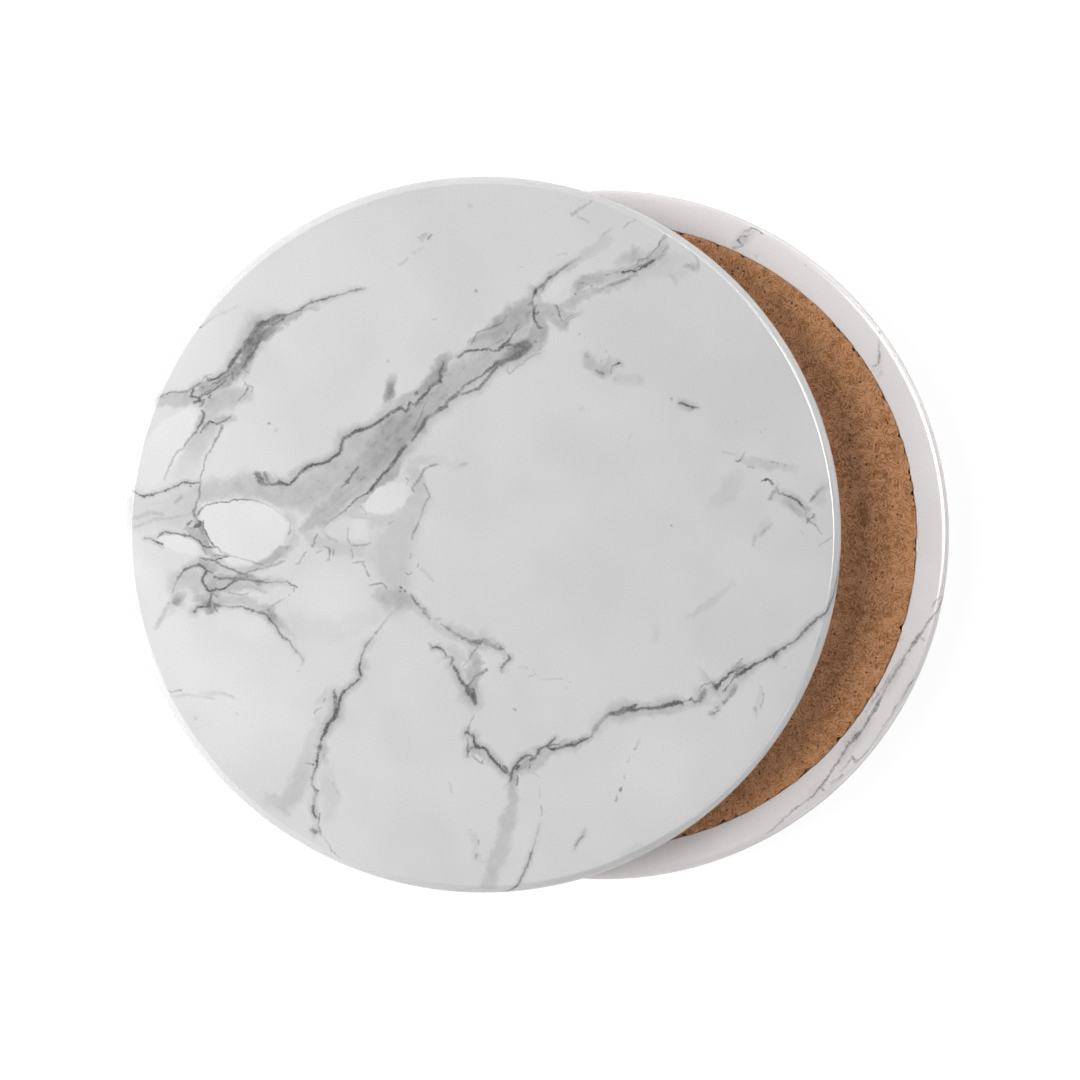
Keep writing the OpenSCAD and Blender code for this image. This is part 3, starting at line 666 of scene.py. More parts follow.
# %% Lay the grey washes of the left side
left_washes = [
    [(-49.6, 3.2, .12, 2.6), (-44.5, 3.2, .1, 2.7), (-41, 3.5, .15, 2.9), (-38.5, 5.7, .2, 1.5),
     (-35, 6.4, .2, 1.4), (-32, 6.9, .24, 1.8), (-30, 6)],
    [(-30.5, 5.8, .25, 1.7), (-28.5, 5.6, .26, 1.8), (-25.5, 5.2, .22, 2.4), (-22.5, 6.6, .22, 2.5),
     (-20, 9, .22, 2.1), (-18, 11.5, .2, 1.7), (-16.5, 13.4, .25, 1.3)],
    [(-24.6, .8, .2, .7), (-23, 1.9, .28, 1), (-21, 3.8, .27, 1.5), (-18, 6.8, .27, 1.9),
     (-15, 10.5, .36, 2.6), (-12.5, 13.2, .45, 2.9), (-10, 15.6, .42, 2.4), (-7.5, 18, .35, 1.8),
     (-5, 20.2, .3, 1.3)],
    [(-44.8, 18.5, .2, .8), (-41.5, 18.8, .25, 1.1), (-39.2, 18.8, .25, 1.3), (-37, 18.6, .22, 2),
     (-34.8, 18.9, .25, 1.8), (-32.5, 19.2, .22, 1.1)],
    [(-37.2, 17.4, .18, 1.7), (-38, 15, .2, 1.6), (-39.6, 12, .15), (-40.6, 9.6, .05, 1.7),
     (-41.2, 7, .03, 1.8)],
    [(-39, 19.6, .35, .8), (-36, 20.8, .5, .9), (-34, 22.4, .52, .8), (-32.4, 25, .66),
     (-30.5, 27.4, .72, .85), (-28.4, 29, .5, .8), (-26, 30.2, .3, .6), (-23, 31.8, .15, .5)],
    [(-32.8, 22, .2, .7), (-32.4, 24, .25, .6)],
    [(-26.6, 3, .12, .7), (-26.2, 0, .16, 1), (-27.5, -2.3, .2), (-30, -3.9, .2, .7),
     (-33, -4.9, .2, .8), (-36, -4.6, .15, .6)],
    [(-38, -5.6, .24, .9), (-37, -6.6, .26, 1.1), (-34, -6.6, .26, 1.4), (-31, -6.6, .15, 1.1),
     (-27, -6.8, .12, .6)],
    [(-39.4, -8.8, .3, .8), (-35, -9, .2), (-32, -9.6, .17, .9), (-29.6, -10.7, .25, .8),
     (-28.2, -12, .14, .5), (-26, -14, .1, .4)],
    [(-42.6, -6.6, .16, 1.2), (-40.8, -5.8, .17, 1.6), (-39.2, -6.8, .22, 1.5)],
    [(-42.4, -8.7, .32, .9), (-41.6, -8.9, .27)], [(-42.8, -10.2, .1, .6), (-44.8, -12.4, .05, .4)],
    [(-41, .9, .3, .5), (-39.2, -.4, .35, .7), (-37.8, -2.4, .3, .6), (-35, -3.2, .25, .4)],
    [(-39.4, 3.4, .25, .6), (-38.8, 2.2, .35, .7), (-38, .6, .3, .6)],
    [(-39, -3.8, .35, .6), (-37.6, -4.5, .4, .8), (-36.4, -4.6, .2, .6)],
    [(-38.4, -9.8, .4, .7), (-37.2, -10, .5, .8), (-36.2, -9.6, .35, .6)],
    [(-26.4, 7.8, .18, .6), (-24.8, 9, .32, .8), (-22.8, 9.8, .18, .5)],
    [(-17.6, 3.6, .15, .8), (-15.4, 5.4, .28, .9), (-13.4, 7.6, .32), (-12, 9.4, .32, .8),
     (-10.8, 11.4, .2, .7)],
    [(-39.8, 19.2, .2, .6), (-38.8, 20.4, .45, .9), (-37.4, 21.2, .35, .8)],
    [(-39.2, 16.6, .2, .5), (-38.7, 15.2, .35, .7), (-37.4, 15.2, .25, .6), (-35.6, 15.8, .3, .7),
     (-34.4, 16.2, .15, .5)],
    [(-31, 8.4, .2, .5), (-29.8, 7.6, .35, .8), (-28, 6.8, .28, .6), (-26, 7.2, .2)],
    [(-39.6, 3.2, .2, .5), (-38.9, 2, .3, .7), (-38.6, .6, .28, .6), (-37.8, -1, .3, .7),
     (-36.9, -2.4, .25, .6)],
    [(-38, -5, .2, .6), (-37.4, -6.6, .35, .8), (-37, -8.4)],
    [(-35, -6.2, .18, .6), (-32.4, -6.1, .28, .7), (-30, -6.4, .18, .6)],
    [(-16.6, 4.8, .15, .8), (-15, 6.4, .18)],
    [(-20.4, 12.8, .12, .7), (-18.6, 13.8, .22, .8), (-15.6, 14.2, .2)],
    [(-39.8, 4, .25, .5), (-39.4, 2.8, .4, .7), (-39.1, 1.5, .55, .8), (-38.4, -.2, .4, .6),
     (-37.6, -1.8, .38), (-36.7, -3.2, .35, .5)],
    [(-36.8, -5.8, .25, .5), (-34.8, -6.1, .38, .7), (-32.8, -6, .46, .75), (-31, -6.4, .4, .6),
     (-29, -6.6, .2, .5)]]

# %% Lay the washes of the middle
middle_washes = [
    [(-24.8, .3, .11, .6), (-22, -1.2, .12, 1.1), (-19, -2, .12, .9), (-16.4, -2.2, .1, 1)],
    [(-19, 3.6, .11, .8), (-17, 2.6, .11, .9), (-14.9, 1.6, .12, .8), (-12.4, 2, .13, 1.2)],
    [(-9.6, 9, .12, .7), (-8.8, 7.2, .13, 1.2), (-8.9, 4.8, .14, 1.6), (-10.5, 1.8, .14, 1.9),
     (-12.3, -1, .13, 2.7), (-12.8, -4, .13, 2.9), (-11.8, -6.4, .14, 1.8)],
    [(-14.4, -8, .15, 1), (-12.4, -8.6, .18, 1.6), (-10.8, -9, .2, 1.4), (-9, -10, .14, .8),
     (-6.5, -12, .09, .7)],
    [(-7, -12, .09, .7), (-4, -13.4, .12, .9), (-1.5, -14.5, .17, 1), (1, -15.1, .17, .9),
     (2.6, -15.9, .14, .5), (3.5, -17.6, .12, .4)],
    [(-4.4, -15.6, .12, .7), (-2.9, -17.6, .12, 1.1), (-1.4, -19.2, .27, .9),
     (-1.2, -21.4, .34, .7)],
    [(-10, 10, .1, .6), (-7.6, 10.4, .09, .8), (-5.4, 10, .05)],
    [(-4.6, 9.6, .05, .8), (-2.6, 9.8, .07)],
    [(-26, -12.6, .05, 1.5), (-20, -13.4, .04, 1.8), (-15, -11.2, .05, 1.2)]]

# %% Lay the washes of the upper right
upper_washes = [
    [(-8.8, 16.8, .3, 1.2), (-7, 18.4, .28, 1.6), (-4.8, 20.4, .25, 1.9), (-2.5, 22, .22, 2.2),
     (0, 23.3, .25, 2), (2.5, 24.8, .28, 1.2), (5.5, 26, .25, .7)],
    [(-1.6, 26.6, .3, .5), (1, 27.5, .38, 1), (3, 28.7, .4, 1.5), (4.8, 29.9, .42, 2),
     (6.2, 31, .38, 1.6), (6.8, 32.6, .3, .8)],
    [(4.6, 27.3, .2, .8), (6.2, 28, .22, 1)],
    [(-1.6, 26.2, .2, .5), (1.2, 26.6, .3, .7), (4, 27, .32, .8)],
    [(7.4, 29.8, .28, .7), (8, 27.8, .36, .9), (7.6, 25.8, .3, .8), (6.4, 24.8, .15, .6)],
    [(-12, 17.6, .15, .8), (-9.6, 19.2, .3, .9), (-7.2, 20.8, .5, 1), (-5.6, 22.8, .5, .9),
     (-4.9, 24.6, .3, .6)],
    [(-1.2, 24, .1, .7), (1, 25, .26, .9), (2.8, 25.7, .28), (5, 26, .2, .7)],
    [(3.4, 23.6, .14, .6), (4.6, 23.9, .2, .8), (6.2, 25, .18, .7), (7.6, 25.7, .1, .4)],
    [(7.4, 30, .3, .8), (8, 31.6, .28, .9), (9.6, 31, .2), (10.5, 31.1, .24, .6), (11.6, 29.9, .25),
     (13.6, 30.7, .1, .5)],
    [(7.3, 33.6, .3, .5), (9.4, 35.6, .22), (12, 37.2, .16), (14.5, 38.8, .12, .6),
     (17.5, 40.8, .08, .8)],
    [(12.6, 33.4, .15, .5), (13.4, 34.4, .3, .9), (15, 35, .34, .8), (17.5, 35.6, .16, .9),
     (20, 36.4, .26, .6), (22.5, 37.4, .28, .7), (24, 38.8, .24, .6), (25.4, 40.4, .14, .7)],
    [(15, 33.4, .18, .4), (17.5, 34.1, .15, .5), (20.4, 35, .1)],
    [(20.5, 36, .1, 1.7), (24.5, 37.8, .12, 2.2), (27.5, 37, .08, 1.6)],
    [(14.2, 24.8, .14, .7), (15.8, 23, .2, .9), (17, 22.3, .25), (17.9, 23.8, .14, .6)],
    [(18.5, 21.6, .08, .8), (21.8, 21, .05, .7)], [(-8.2, 40.6, .14, .3), (-7.6, 41.4, .2)],
    [(28.8, 36.8, .14, .5), (29.8, 36.7)],
    [(-13.2, 18.6, .3, .5), (-12.8, 20.4, .35), (-12.6, 22, .1)],
    [(-2, 24.8, .12, .8), (.8, 25.4, .28, 1), (3, 25.9), (6, 27, .26, .9)],
    [(7.6, 31, .2, .8), (9.6, 30, .26, .9), (11.4, 28.6)],
    [(18.6, 37.4, .12, .8), (20.9, 38.6, .25, 1), (22.6, 38.2, .12, .7)],
    [(1, 22.5, .22, .6), (3, 24.2, .44, .9), (5, 25.5, .52, 1.1), (6.8, 26.8, .48, 1),
     (7.8, 28.6, .36, .9), (8, 30.4, .25, .7)],
    [(10.8, 31, .12, .7), (12.6, 32.2, .26, .9), (14.6, 33.2, .16, .7)]]

# %% Lay the washes of the right and lower sides
right_washes = [
    [(32.2, 4.4, .07, .9), (34, 6, .09, 1.3), (35.2, 7.8, .05, 1.2)],
    [(35.6, 10.3, .1, .5), (38.5, 9.7, .14, .6), (41.5, 9.6, .13), (43.4, 9, .07, .7)],
    [(40, 5.8, .07, .7), (42, 4.8, .13, 1.1), (44, 3.4, .14, 1), (45.4, 2, .1, .5)],
    [(46, 4.6, .09, 1), (47.2, 6.6, .09, .8)], [(37.8, 0, .06, .6), (39.4, 1.6, .07)],
    [(28.6, -11.4, .06, .4), (30.8, -10, .1, .6), (33, -8, .07, .5), (34.6, -6.6, .04)],
    [(23.8, -14.4, .07, .5), (23.6, -12.4, .04, .7)],
    [(31.2, -22, .14, .8), (33, -21.6, .17, 1.3), (34.4, -20.2, .16, 1.2), (35.6, -18.8, .14, .6)],
    [(31.6, -24.6, .1, .6), (33.4, -22.8, .13, .7)], [(15.2, -27.2, .12, .5), (16.6, -25, .1, .4)],
    [(38.5, -21, .1, .4), (37.9, -24.4, .07, .5)],
    [(17.5, -24.9, .12, .5), (22, -24.6, .18, .7), (24.4, -24.2, .26, .8), (27, -23.8, .18, .6),
     (30, -22.8, .14)],
    [(19, -44.4, .07, .6), (22, -42.8)]]
lower_washes = [
    [(-29.6, -36.4, .1, .8), (-27.6, -37.6, .16, 1.2), (-25.8, -35.6, .17, 1.4),
     (-24.6, -32.8, .14, 1.3), (-23.6, -29, .1, 1), (-22.6, -25.6, .07, .8)],
    [(-21.8, -32, .05, .8), (-21, -35.5, .1, 1.2), (-21.2, -39, .08, 1)],
    [(-16.6, -17, .12, .6), (-16.2, -18.4)], [(-1.8, -29.6, .25, .6), (.2, -30.4, .22, .5)],
    [(4.4, -32.6, .29, .6), (6, -31.4, .39, .8), (7.2, -31.2, .22, .5)],
    [(4.4, -33.2, .34, .4), (4.2, -36, .2, .7), (3.6, -39.5, .18, 1.1), (2.8, -42.5, .14, 1.2),
     (1.4, -46.4, .16, 1), (.4, -49.4, .1, .9)],
    [(-1.2, -41.4, .08, .5), (-.8, -45, .05)], [(-21.4, -21.6, .12, .6), (-22.8, -23.6, .08, .4)],
    [(4.6, -32.8, .12, .8), (6.4, -31.6, .22, 1), (9, -30, .18, .8), (11.4, -29, .2),
     (13, -28.8, .12, .6)],
    [(-22.4, -27, .12, .6), (-22, -29.4, .22, .8), (-22.4, -31.6, .12, .6)],
    [(17, -24.8, .12, .6), (19.4, -24.4, .2, .8), (21.6, -24.6, .1, .6)],
    [(-1.6, -15.8, .15, .6), (-.7, -17.4, .32, .8), (-.8, -19.4, .26, .7)]]

# %% Leave the nearly white islands, and paint light onto the paler places
# Painted light: soft pale patches that make parts of the face lighter, as if more light fell there.
# They are not part of the print.
painted_light_patches = [
    [(-48, -3.6, .9, 1.4), (-46.4, -6, 1, 2.6), (-44.6, -10, .8, 3)],
    [(-44, -13, .8, 4), (-39, -18, .9, 6.4), (-32, -25, .6, 8), (-26, -31, .2, 6)],
    [(-22.4, -6.6, .9, 3.4), (-20, -8.4, 1, 5), (-18, -10.4, .8, 3.6)],
    [(-36, -12, .7, 2.2), (-31.6, -13, .7, 2.8)],
    [(-44, 24, .5, 4), (-38, 30, .6), (-32, 36, .3, 3)],
    [(8, -42, .3, 5), (14, -36, .7, 7), (25, -33), (35, -25, .6, 6), (40, -18, .2, 4)]]
islands = [
    [(-38.4, 3, 1, 1.2), (-36.6, 1.4, 1, 3.3), (-34, .3, 1, 4.6), (-31, .1, 1, 4.5),
     (-28.9, .1, 1, 3.1), (-27.6, .2, 1, 1.6)],
    [(-40.2, 16.6, 1, 1), (-42.4, 14.2, 1, 2.4), (-44.6, 11, .9, 2.6), (-46.4, 8, .6, 1.9)],
    [(-44.4, -.7, .9, .5), (-42, -1.2, 1, 1.2), (-39.8, -2, 1, .9)],
    [(-16, 3.8, .9, .7), (-14, 4.6, 1, 1.9), (-11.8, 5.5), (-10.6, 6.1, .8, 1)],
    [(-17.4, .8, .8, 1.4), (-16.6, .7)], [(-2.6, -18, .7, .5), (-2.3, -18)],
    [(9.4, 33.6, .5, 1), (11, 35, .4)], [(-33.6, -8, .35, .3), (-30.5, -8.2)]]

# %% Lay out the underside of the rim
ring_marks = [
    [(18.4, 41.5, .3, .2), (19.1, 41.5, .45), (19.7, 41.6, .6, .16)],
    [(19.1, 42.6, .8, .18), (19.4, 42.1, .7, .14), (19.8, 41.7, .6), (20, 42, .4)],
    [(19.2, 42.7, .7, .15), (19.6, 43, .5), (20.3, 43, .8, .2), (20.8, 43.3, .6, .15)],
    [(20, 43.3, .4, .12), (20.1, 43.9, .6, .2), (20.6, 43.8), (21.3, 44.4, .55, .25),
     (22, 44.2, .4, .15), (22.4, 44, .5), (22.7, 43.6, .7)],
    [(39.8, 29.4, .4, .2), (39.6, 28.3, .15, .15), (39.5, 26.6, .65), (39.7, 26, .6), (39.5, 24.8),
     (38.8, 24.3, .3, .2)],
    [(39.9, 23.4, .2, .3), (39.5, 22.8)],
    [(49.6, -8.9, .9, .14), (48.7, -10.2), (48, -11.2), (47.2, -11.8, .7), (46.6, -12.6, .5),
     (45.8, -13.9, .45, .2), (45.3, -14.6, .55, .25), (44.7, -15.4, .65), (44.1, -16.3, .6, .2),
     (43.2, -17.6, .5), (42.6, -18.8, .5, .25), (42, -19.8, .55), (41.3, -20.8, .5),
     (40.7, -21.8, .4, .2), (40.1, -22.9, .45), (39.8, -23.7, .7), (39.3, -24.6, .8, .3),
     (38.8, -25.3), (38.3, -26.2, .6, .2), (37.6, -27.5, .65, .15), (37.1, -28.3, .6, .25),
     (36.4, -29, .8, .3), (35.7, -29.7), (35, -30.4, .8, .22), (34.5, -31.4, .6, .2),
     (33.8, -32.5, .5), (33, -33.7, .4, .15), (32.1, -35, .5, .16), (31.4, -35.9, .65),
     (30.9, -36.6, .6), (30.2, -37.5, .7), (29.8, -37.9, .8), (29, -38.4, .4), (27.9, -39.2, .5),
     (26.9, -39.9, .35), (25.7, -41.1, .4), (24.7, -42.1), (23.4, -43.2, .2)],
    [(42.7, -18, .25, .15), (41.2, -20.1, .3), (40.4, -21.5, .35), (39.4, -23, .35, .2),
     (38.5, -24.2, .3), (37.7, -25.6, .2)],
    [(39, -22.7, .3, .15), (39.6, -23.1, .35)],
    [(36.6, -28.6, .5, .15), (35.8, -29, .3), (35.4, -30, .6), (34.9, -31, .4)],
    [(48.8, -8.8, .4, .15), (47.7, -9.6, .3), (47.2, -10.5, .25)],
    [(45.6, -14.8, .25, .15), (46.3, -15.3)],
    [(44.7, -21, .4, .2), (43.9, -21.8, .55), (43.2, -23.2, .3, .15), (42.5, -24.1, .2),
     (41.9, -24.9, .5), (41.2, -26.3, .3), (40.1, -27.8, .25), (39.2, -29.4, .15),
     (38.4, -30.8, .3), (37.2, -32.3, .35), (36.1, -32.8, .5)],
    [(35.6, -31.8, .45, .12), (36.1, -32.8, .5)],
    [(35.7, -32.1, .35, .15), (34.7, -33.5, .4), (33.9, -34.1, .25)],
    [(38.2, -26.2, .1, .8), (36.8, -28.2, .22, .9), (35.4, -30.2, .22, 1), (33.8, -32.6, .12, .8)],
    [(44.6, -15.6, .08, .5), (42.4, -19.2, .14, .6), (40.8, -21.8, .16, .7), (39, -24.4, .1, .6)],
    [(45.2, -20.2, .06, .5), (43.6, -22.6, .14, .6), (42.2, -24.8, .1, .5)],
    [(31.8, -35.6, .06, .6), (30.2, -37.2, .14, .7), (28, -39.2, .06, .6)],
    [(34.3, -34.7, .3, .2), (33.3, -35.4, .4), (32.6, -35.9, .3)],
    [(31.2, -36.5, .5, .15), (31.6, -36.9)], [(42.5, -15.4, .15, .15), (43.1, -15)],
    [(18.8, 41.6, .12, .6), (19.6, 42.5, .24, .9), (20.6, 43.4), (21.8, 44.1, .14, .7)],
    [(39.8, 27.6, .04, .5), (39.5, 25.4, .1, .6), (39.3, 23.4, .08)]]
ring_spots = [(28.95, 39, .35, .22), (21.9, 40.1, .2, .3)]

# %% [markdown]
# ## Drawing the veins with nodes
# A picture would be the short way to such a pattern, but a node pattern stays sharp at any
# distance. Each route is split into stretches that never turn back on themselves. Such a
# stretch is like a graph: at a distance along it, one curve gives how far aside its middle
# lies, a second gives its half width and a third its darkness. The distance of a point from
# the middle, over the half width, then says how dark the point is. Vector nodes handle
# three stretches at once, one in each channel.

# %% Split routes into stretches
MM_PER_CM = 10
FIRST_DARKNESS = 0.5
FIRST_HALF_WIDTH = 0.1
LEAST_ADVANCE = 0.4
LEAST_CAP = 0.01


def filled_in(route):
    """The points of a route as (x, y, darkness, half width) in centimetres, with every value."""
    known, full = [FIRST_DARKNESS, FIRST_HALF_WIDTH], []
    for x, y, *given in route:
        known[:len(given)] = given
        full.append((x / MM_PER_CM, y / MM_PER_CM, known[0], known[1] / MM_PER_CM))
    return full


def advances(points):
    """True if each step of the points goes forward along the line from first to last."""
    whole = Vector(points[-1][:2]) - Vector(points[0][:2])
    for a, b in zip(points, points[1:]):
        step = Vector(b[:2]) - Vector(a[:2])
        if step.dot(whole) < LEAST_ADVANCE * step.length * whole.length:
            return False
    return True


def stretches(routes):
    """All the routes, split where they would turn back."""
    found = []
    for route in routes:
        points = filled_in(route)
        while len(points) > 1:
            count = 2
            while count < len(points) and advances(points[:count + 1]):
                count += 1
            found.append(points[:count])
            points = points[count - 1:]
    return found


print("the upper left vein has", len(stretches(upper_left_vein)), "stretches")


# %% Turn a stretch into a graph
def as_graph(points):
    """A stretch seen from its own middle line: scale, direction, middle, and three curves."""
    start, end = Vector(points[0][:2]), Vector(points[-1][:2])
    along = (end - start).normalized()
    aside = Vector((-along.y, along.x))
    middle = (start + end) / 2
    cap = max(points[0][3], points[-1][3], LEAST_CAP)
    reach = (end - start).length / 2 + cap
    centre, width, dark = [], [], []
    for i, (x, y, darkness, half) in enumerate(points):
        before, after = points[max(i - 1, 0)], points[min(i + 1, len(points) - 1)]
        heading = (Vector(after[:2]) - Vector(before[:2])).normalized()
        at = Vector((x, y)) - middle
        where = at.dot(along) / reach
        centre.append((where, at.dot(aside)))
        width.append((where, half / max(heading.dot(along), LEAST_ADVANCE)))
        dark.append((where, darkness))
    dark = [(-1, 0), *dark, (1, 0)]
    return along / reach, aside, middle, (centre, width, dark)


NO_STRETCH = (Vector((1, 0)), Vector((0, 1)), Vector((0, 0)), ([(0, 0)], [(0, 1)], [(0, 0)]))
first_scale = as_graph(stretches(upper_left_vein)[0])[0].length
print("the scale of its first stretch is", round(first_scale, 2))


# %% Make helpers for three stretches at once
VECTOR_RANGE = (6, 7, 8, 9, 10)  # the vector inputs of a Map Range: value, from and to


def three_curves(tree, value, graphs):
    """A Vector Curves node that reads one curve in each channel."""
    made = add_node(tree, "ShaderNodeVectorCurve", {1: value})
    made.mapping.use_clip = False
    made.mapping.extend = "HORIZONTAL"
    for channel, graph in zip(made.mapping.curves, graphs):
        while len(channel.points) < len(graph):
            channel.points.new(0, 0)
        for point, (x, y) in zip(channel.points, graph):
            point.location = (x, y)
            point.handle_type = "VECTOR"
        if len(graph) < 2:
            channel.points[1].location = (1, graph[0][1])
    made.mapping.update()
    return made.outputs[0]


def draw_three(tree, across, up, trio, edge):
    """Darkness from three stretches, one in each channel of a vector."""
    placed = []
    for which in (0, 1):
        directions = [graph[which] for graph in trio]
        shift = [-d.dot(graph[2]) for d, graph in zip(directions, trio)]
        partly = calculate_vector(tree, "MULTIPLY_ADD", up, [d.y for d in directions], shift)
        placed.append(
            calculate_vector(tree, "MULTIPLY_ADD", across, [d.x for d in directions], partly))
    centre, width, dark = (
        three_curves(tree, placed[0], [graph[3][kind] for graph in trio]) for kind in range(3))
    off_middle = calculate_vector(tree, "SUBTRACT", placed[1], centre)
    share = calculate_vector(tree, "DIVIDE", calculate_vector(tree, "ABSOLUTE", off_middle), width)
    values = (share, [edge[0]] * 3, [edge[1]] * 3, dark, [0] * 3)
    return add_node(
        tree, "ShaderNodeMapRange", dict(zip(VECTOR_RANGE, values)), data_type="FLOAT_VECTOR",
        interpolation_type="SMOOTHSTEP").outputs[1]


def draw_stretches(tree, plane, drawn, edge):
    """Darkness from stretches at a point of the plane. The edge fades between two shares."""
    if not drawn:
        return 0
    parts = parts_of(tree, plane)
    across, up = (joined(tree, part, part, part) for part in (parts[0], parts[1]))
    graphs = [as_graph(points) for points in drawn]
    while len(graphs) % 3:
        graphs.append(NO_STRETCH)
    darkest = None
    for i in range(0, len(graphs), 3):
        dark = draw_three(tree, across, up, graphs[i:i + 3], edge)
        darkest = dark if darkest is None else calculate_vector(tree, "MAXIMUM", darkest, dark)
    channels = parts_of(tree, darkest)
    either = calculate(tree, "MAXIMUM", channels[0], channels[1])
    return calculate(tree, "MAXIMUM", either, channels[2])


# %% Make a helper for spots
SPOT_REACH = 1.5


def between(tree, value, low, high, to_low=0, to_high=1, kind="LINEAR"):
    """A value mapped from one range to another, held at both ends."""
    return add_node(tree, "ShaderNodeMapRange", {
        "Value": value, "From Min": low, "From Max": high, "To Min": to_low, "To Max": to_high},
        interpolation_type=kind).outputs[0]


def draw_spots(tree, plane, spots):
    """Darkness from round spots, each x, y, darkness and radius in millimetres."""
    darkest = 0
    for x, y, dark, radius in spots:
        away = calculate_vector(tree, "DISTANCE", plane, (x / MM_PER_CM, y / MM_PER_CM, 0))
        spot = between(tree, away, 0, SPOT_REACH * radius / MM_PER_CM, dark, 0, "SMOOTHSTEP")
        darkest = calculate(tree, "MAXIMUM", darkest, spot)
    return darkest


# %% [markdown]
# Now all the routes are split. Every dark crack also gets a fringe: the same stretch once
# more, fainter and several times as wide. It blurs the crack's edge, as the print does.

# %% Gather the strokes
FRINGE_DARKNESS = 0.3
FRINGE_WIDTH = 4.2
FRINGED_FROM = 0.6
FRINGED_LENGTH = 3

face_routes = (
    upper_left_vein + upper_left_tail + left_vein + lower_left_cluster + far_left_marks
    + main_vein + middle_marks + upper_right_vein + top_marks + right_marks
    + lower_vein_right + lower_vein_middle + lower_vein_left + lower_vein_end + bottom_marks)
dark_routes = [
    route for route in face_routes
    if len(route) > FRINGED_LENGTH and max(point[2] for point in filled_in(route)) > FRINGED_FROM]
face_cracks = stretches(face_routes)
face_fringes = [
    [(x, y, dark * FRINGE_DARKNESS, half * FRINGE_WIDTH) for x, y, dark, half in points]
    for points in stretches(dark_routes)]
face_bands = stretches(left_washes + middle_washes + upper_washes + right_washes + lower_washes)
face_islands = stretches(islands)
face_painted_light = stretches(painted_light_patches)
face_spots = left_spots + main_spots + middle_spots + upper_right_spots + right_spots + bottom_spots
ring_cracks = stretches(ring_marks)
print(len(face_cracks), "cracks,", len(face_bands), "washes,", len(face_fringes), "fringes and",
      len(face_spots), "spots")

# %% [markdown]
# Hundreds of strokes are slow to draw at every point. So the tile is cut into eight sectors,
# like a cake. Each has its own material, which draws only the strokes that come near it.
# The strokes of a sector go into one group, which puts out cracks and soft bands apart.

# %% Sort the strokes into sectors
SECTORS = 8
NEAR = 0.06
CRACK_EDGE = (0.32, 1.68)
BAND_EDGE = (0, 1.6)
WASH_EDGE = (0.4, 1.5)
ISLAND_EDGE = (0.85, 1.12)
TRIED_SHARES = (0, 0.25, 0.5, 0.75, 1)


def comes_near(points, sector, flip=1):
    """True if any part of a stretch lies in a sector or close to its edges."""
    half_angle = math.pi / SECTORS
    for a, b in zip(points, points[1:]):
        for share in TRIED_SHARES:
            x, y, _, half = (m + (n - m) * share for m, n in zip(a, b))
            turned = math.atan2(y * flip, x) - (2 * sector + 1) * half_angle
            beyond = abs((turned + math.pi) % math.tau - math.pi) - half_angle
            away = 0 if beyond < 0 else math.hypot(x, y) * math.sin(min(beyond, math.pi / 2))
            if away < half * BAND_EDGE[1] + NEAR:
                return True
    return False


def as_stretch(spot):
    """A spot as a stretch of no length, to sort it by."""
    x, y, dark, radius = spot
    return filled_in([(x, y, dark, radius), (x, y)])


print("the first sector has", sum(comes_near(s, 0) for s in face_cracks), "cracks")


# %% Build the vein groups
def vein_group(sector):
    """A shader group: the planes in, and the darkness of one sector's cracks and bands out."""
    tree, given, result = new_group(
        "ShaderNodeTree", f"veins, sector {sector + 1}",
        [("Face Plane", "Vector"), ("Wash Plane", "Vector"), ("Under Plane", "Vector")],
        [("Face Cracks", "Float"), ("Face Bands", "Float"), ("Face Pale And Painted Light", "Float"),
         ("Under Cracks", "Float")])

    def strokes(plane, found, edge, flip=1):
        """Darkness on a plane from the stretches near this sector."""
        near = [points for points in found if comes_near(points, sector, flip)]
        return draw_stretches(tree, given[plane], near, edge)

    def spots(plane, found, flip=1):
        """Darkness on a plane from the spots near this sector."""
        near = [spot for spot in found if comes_near(as_stretch(spot), sector, flip)]
        return draw_spots(tree, given[plane], near)

    cracks = strokes("Face Plane", face_cracks, CRACK_EDGE)
    face_dots = spots("Face Plane", face_spots)
    fringes = strokes("Face Plane", face_fringes, BAND_EDGE)
    bands = strokes("Wash Plane", face_bands, WASH_EDGE)
    white = strokes("Face Plane", face_islands, ISLAND_EDGE)
    bands = calculate(tree, "MAXIMUM", bands, fringes)
    # Painted light: the soft pale patches that make parts of the face lighter, as if more light
    # fell there.
    glow = strokes("Face Plane", face_painted_light, BAND_EDGE)
    bands = calculate(tree, "MULTIPLY", bands, calculate(tree, "SUBTRACT", 1, white))
    # The pale share holds both the white islands of the print and the painted light.
    pale = calculate(tree, "MAXIMUM", white, glow)
    under = strokes("Under Plane", ring_cracks, CRACK_EDGE, -1)
    under_dots = spots("Under Plane", ring_spots, -1)
    for value, socket in (
            (calculate(tree, "MAXIMUM", cracks, face_dots), "Face Cracks"), (bands, "Face Bands"),
            (pale, "Face Pale And Painted Light"), (calculate(tree, "MAXIMUM", under, under_dots), "Under Cracks")):
        tree.links.new(value, result[socket])
    print("sector", sector + 1, "has", len(tree.nodes), "nodes")
    return tree


vein_groups = [vein_group(sector) for sector in range(SECTORS)]

# %% [markdown]
# ## Glaze
# The print wraps over the edge of the tile, so the pattern is laid on two planes, one for
# the face and one for the underside. Where the side drops away, the planes are unrolled
# down it. Noise shakes the planes a little, so that no crack is smooth.

# %% Make helpers for planes
MIX_SOCKETS = {  # the two inputs and the output of a Mix node, for each kind of value
    "FLOAT": (2, 3, 0), "VECTOR": (4, 5, 1), "RGBA": (6, 7, 2)}


def mixed(tree, share, under, over, kind="FLOAT"):
    """One value laid over another by a share, as a Mix node."""
    first, second, out = MIX_SOCKETS[kind]
    return add_node(
        tree, "ShaderNodeMix", {0: share, first: under, second: over}, data_type=kind).outputs[out]


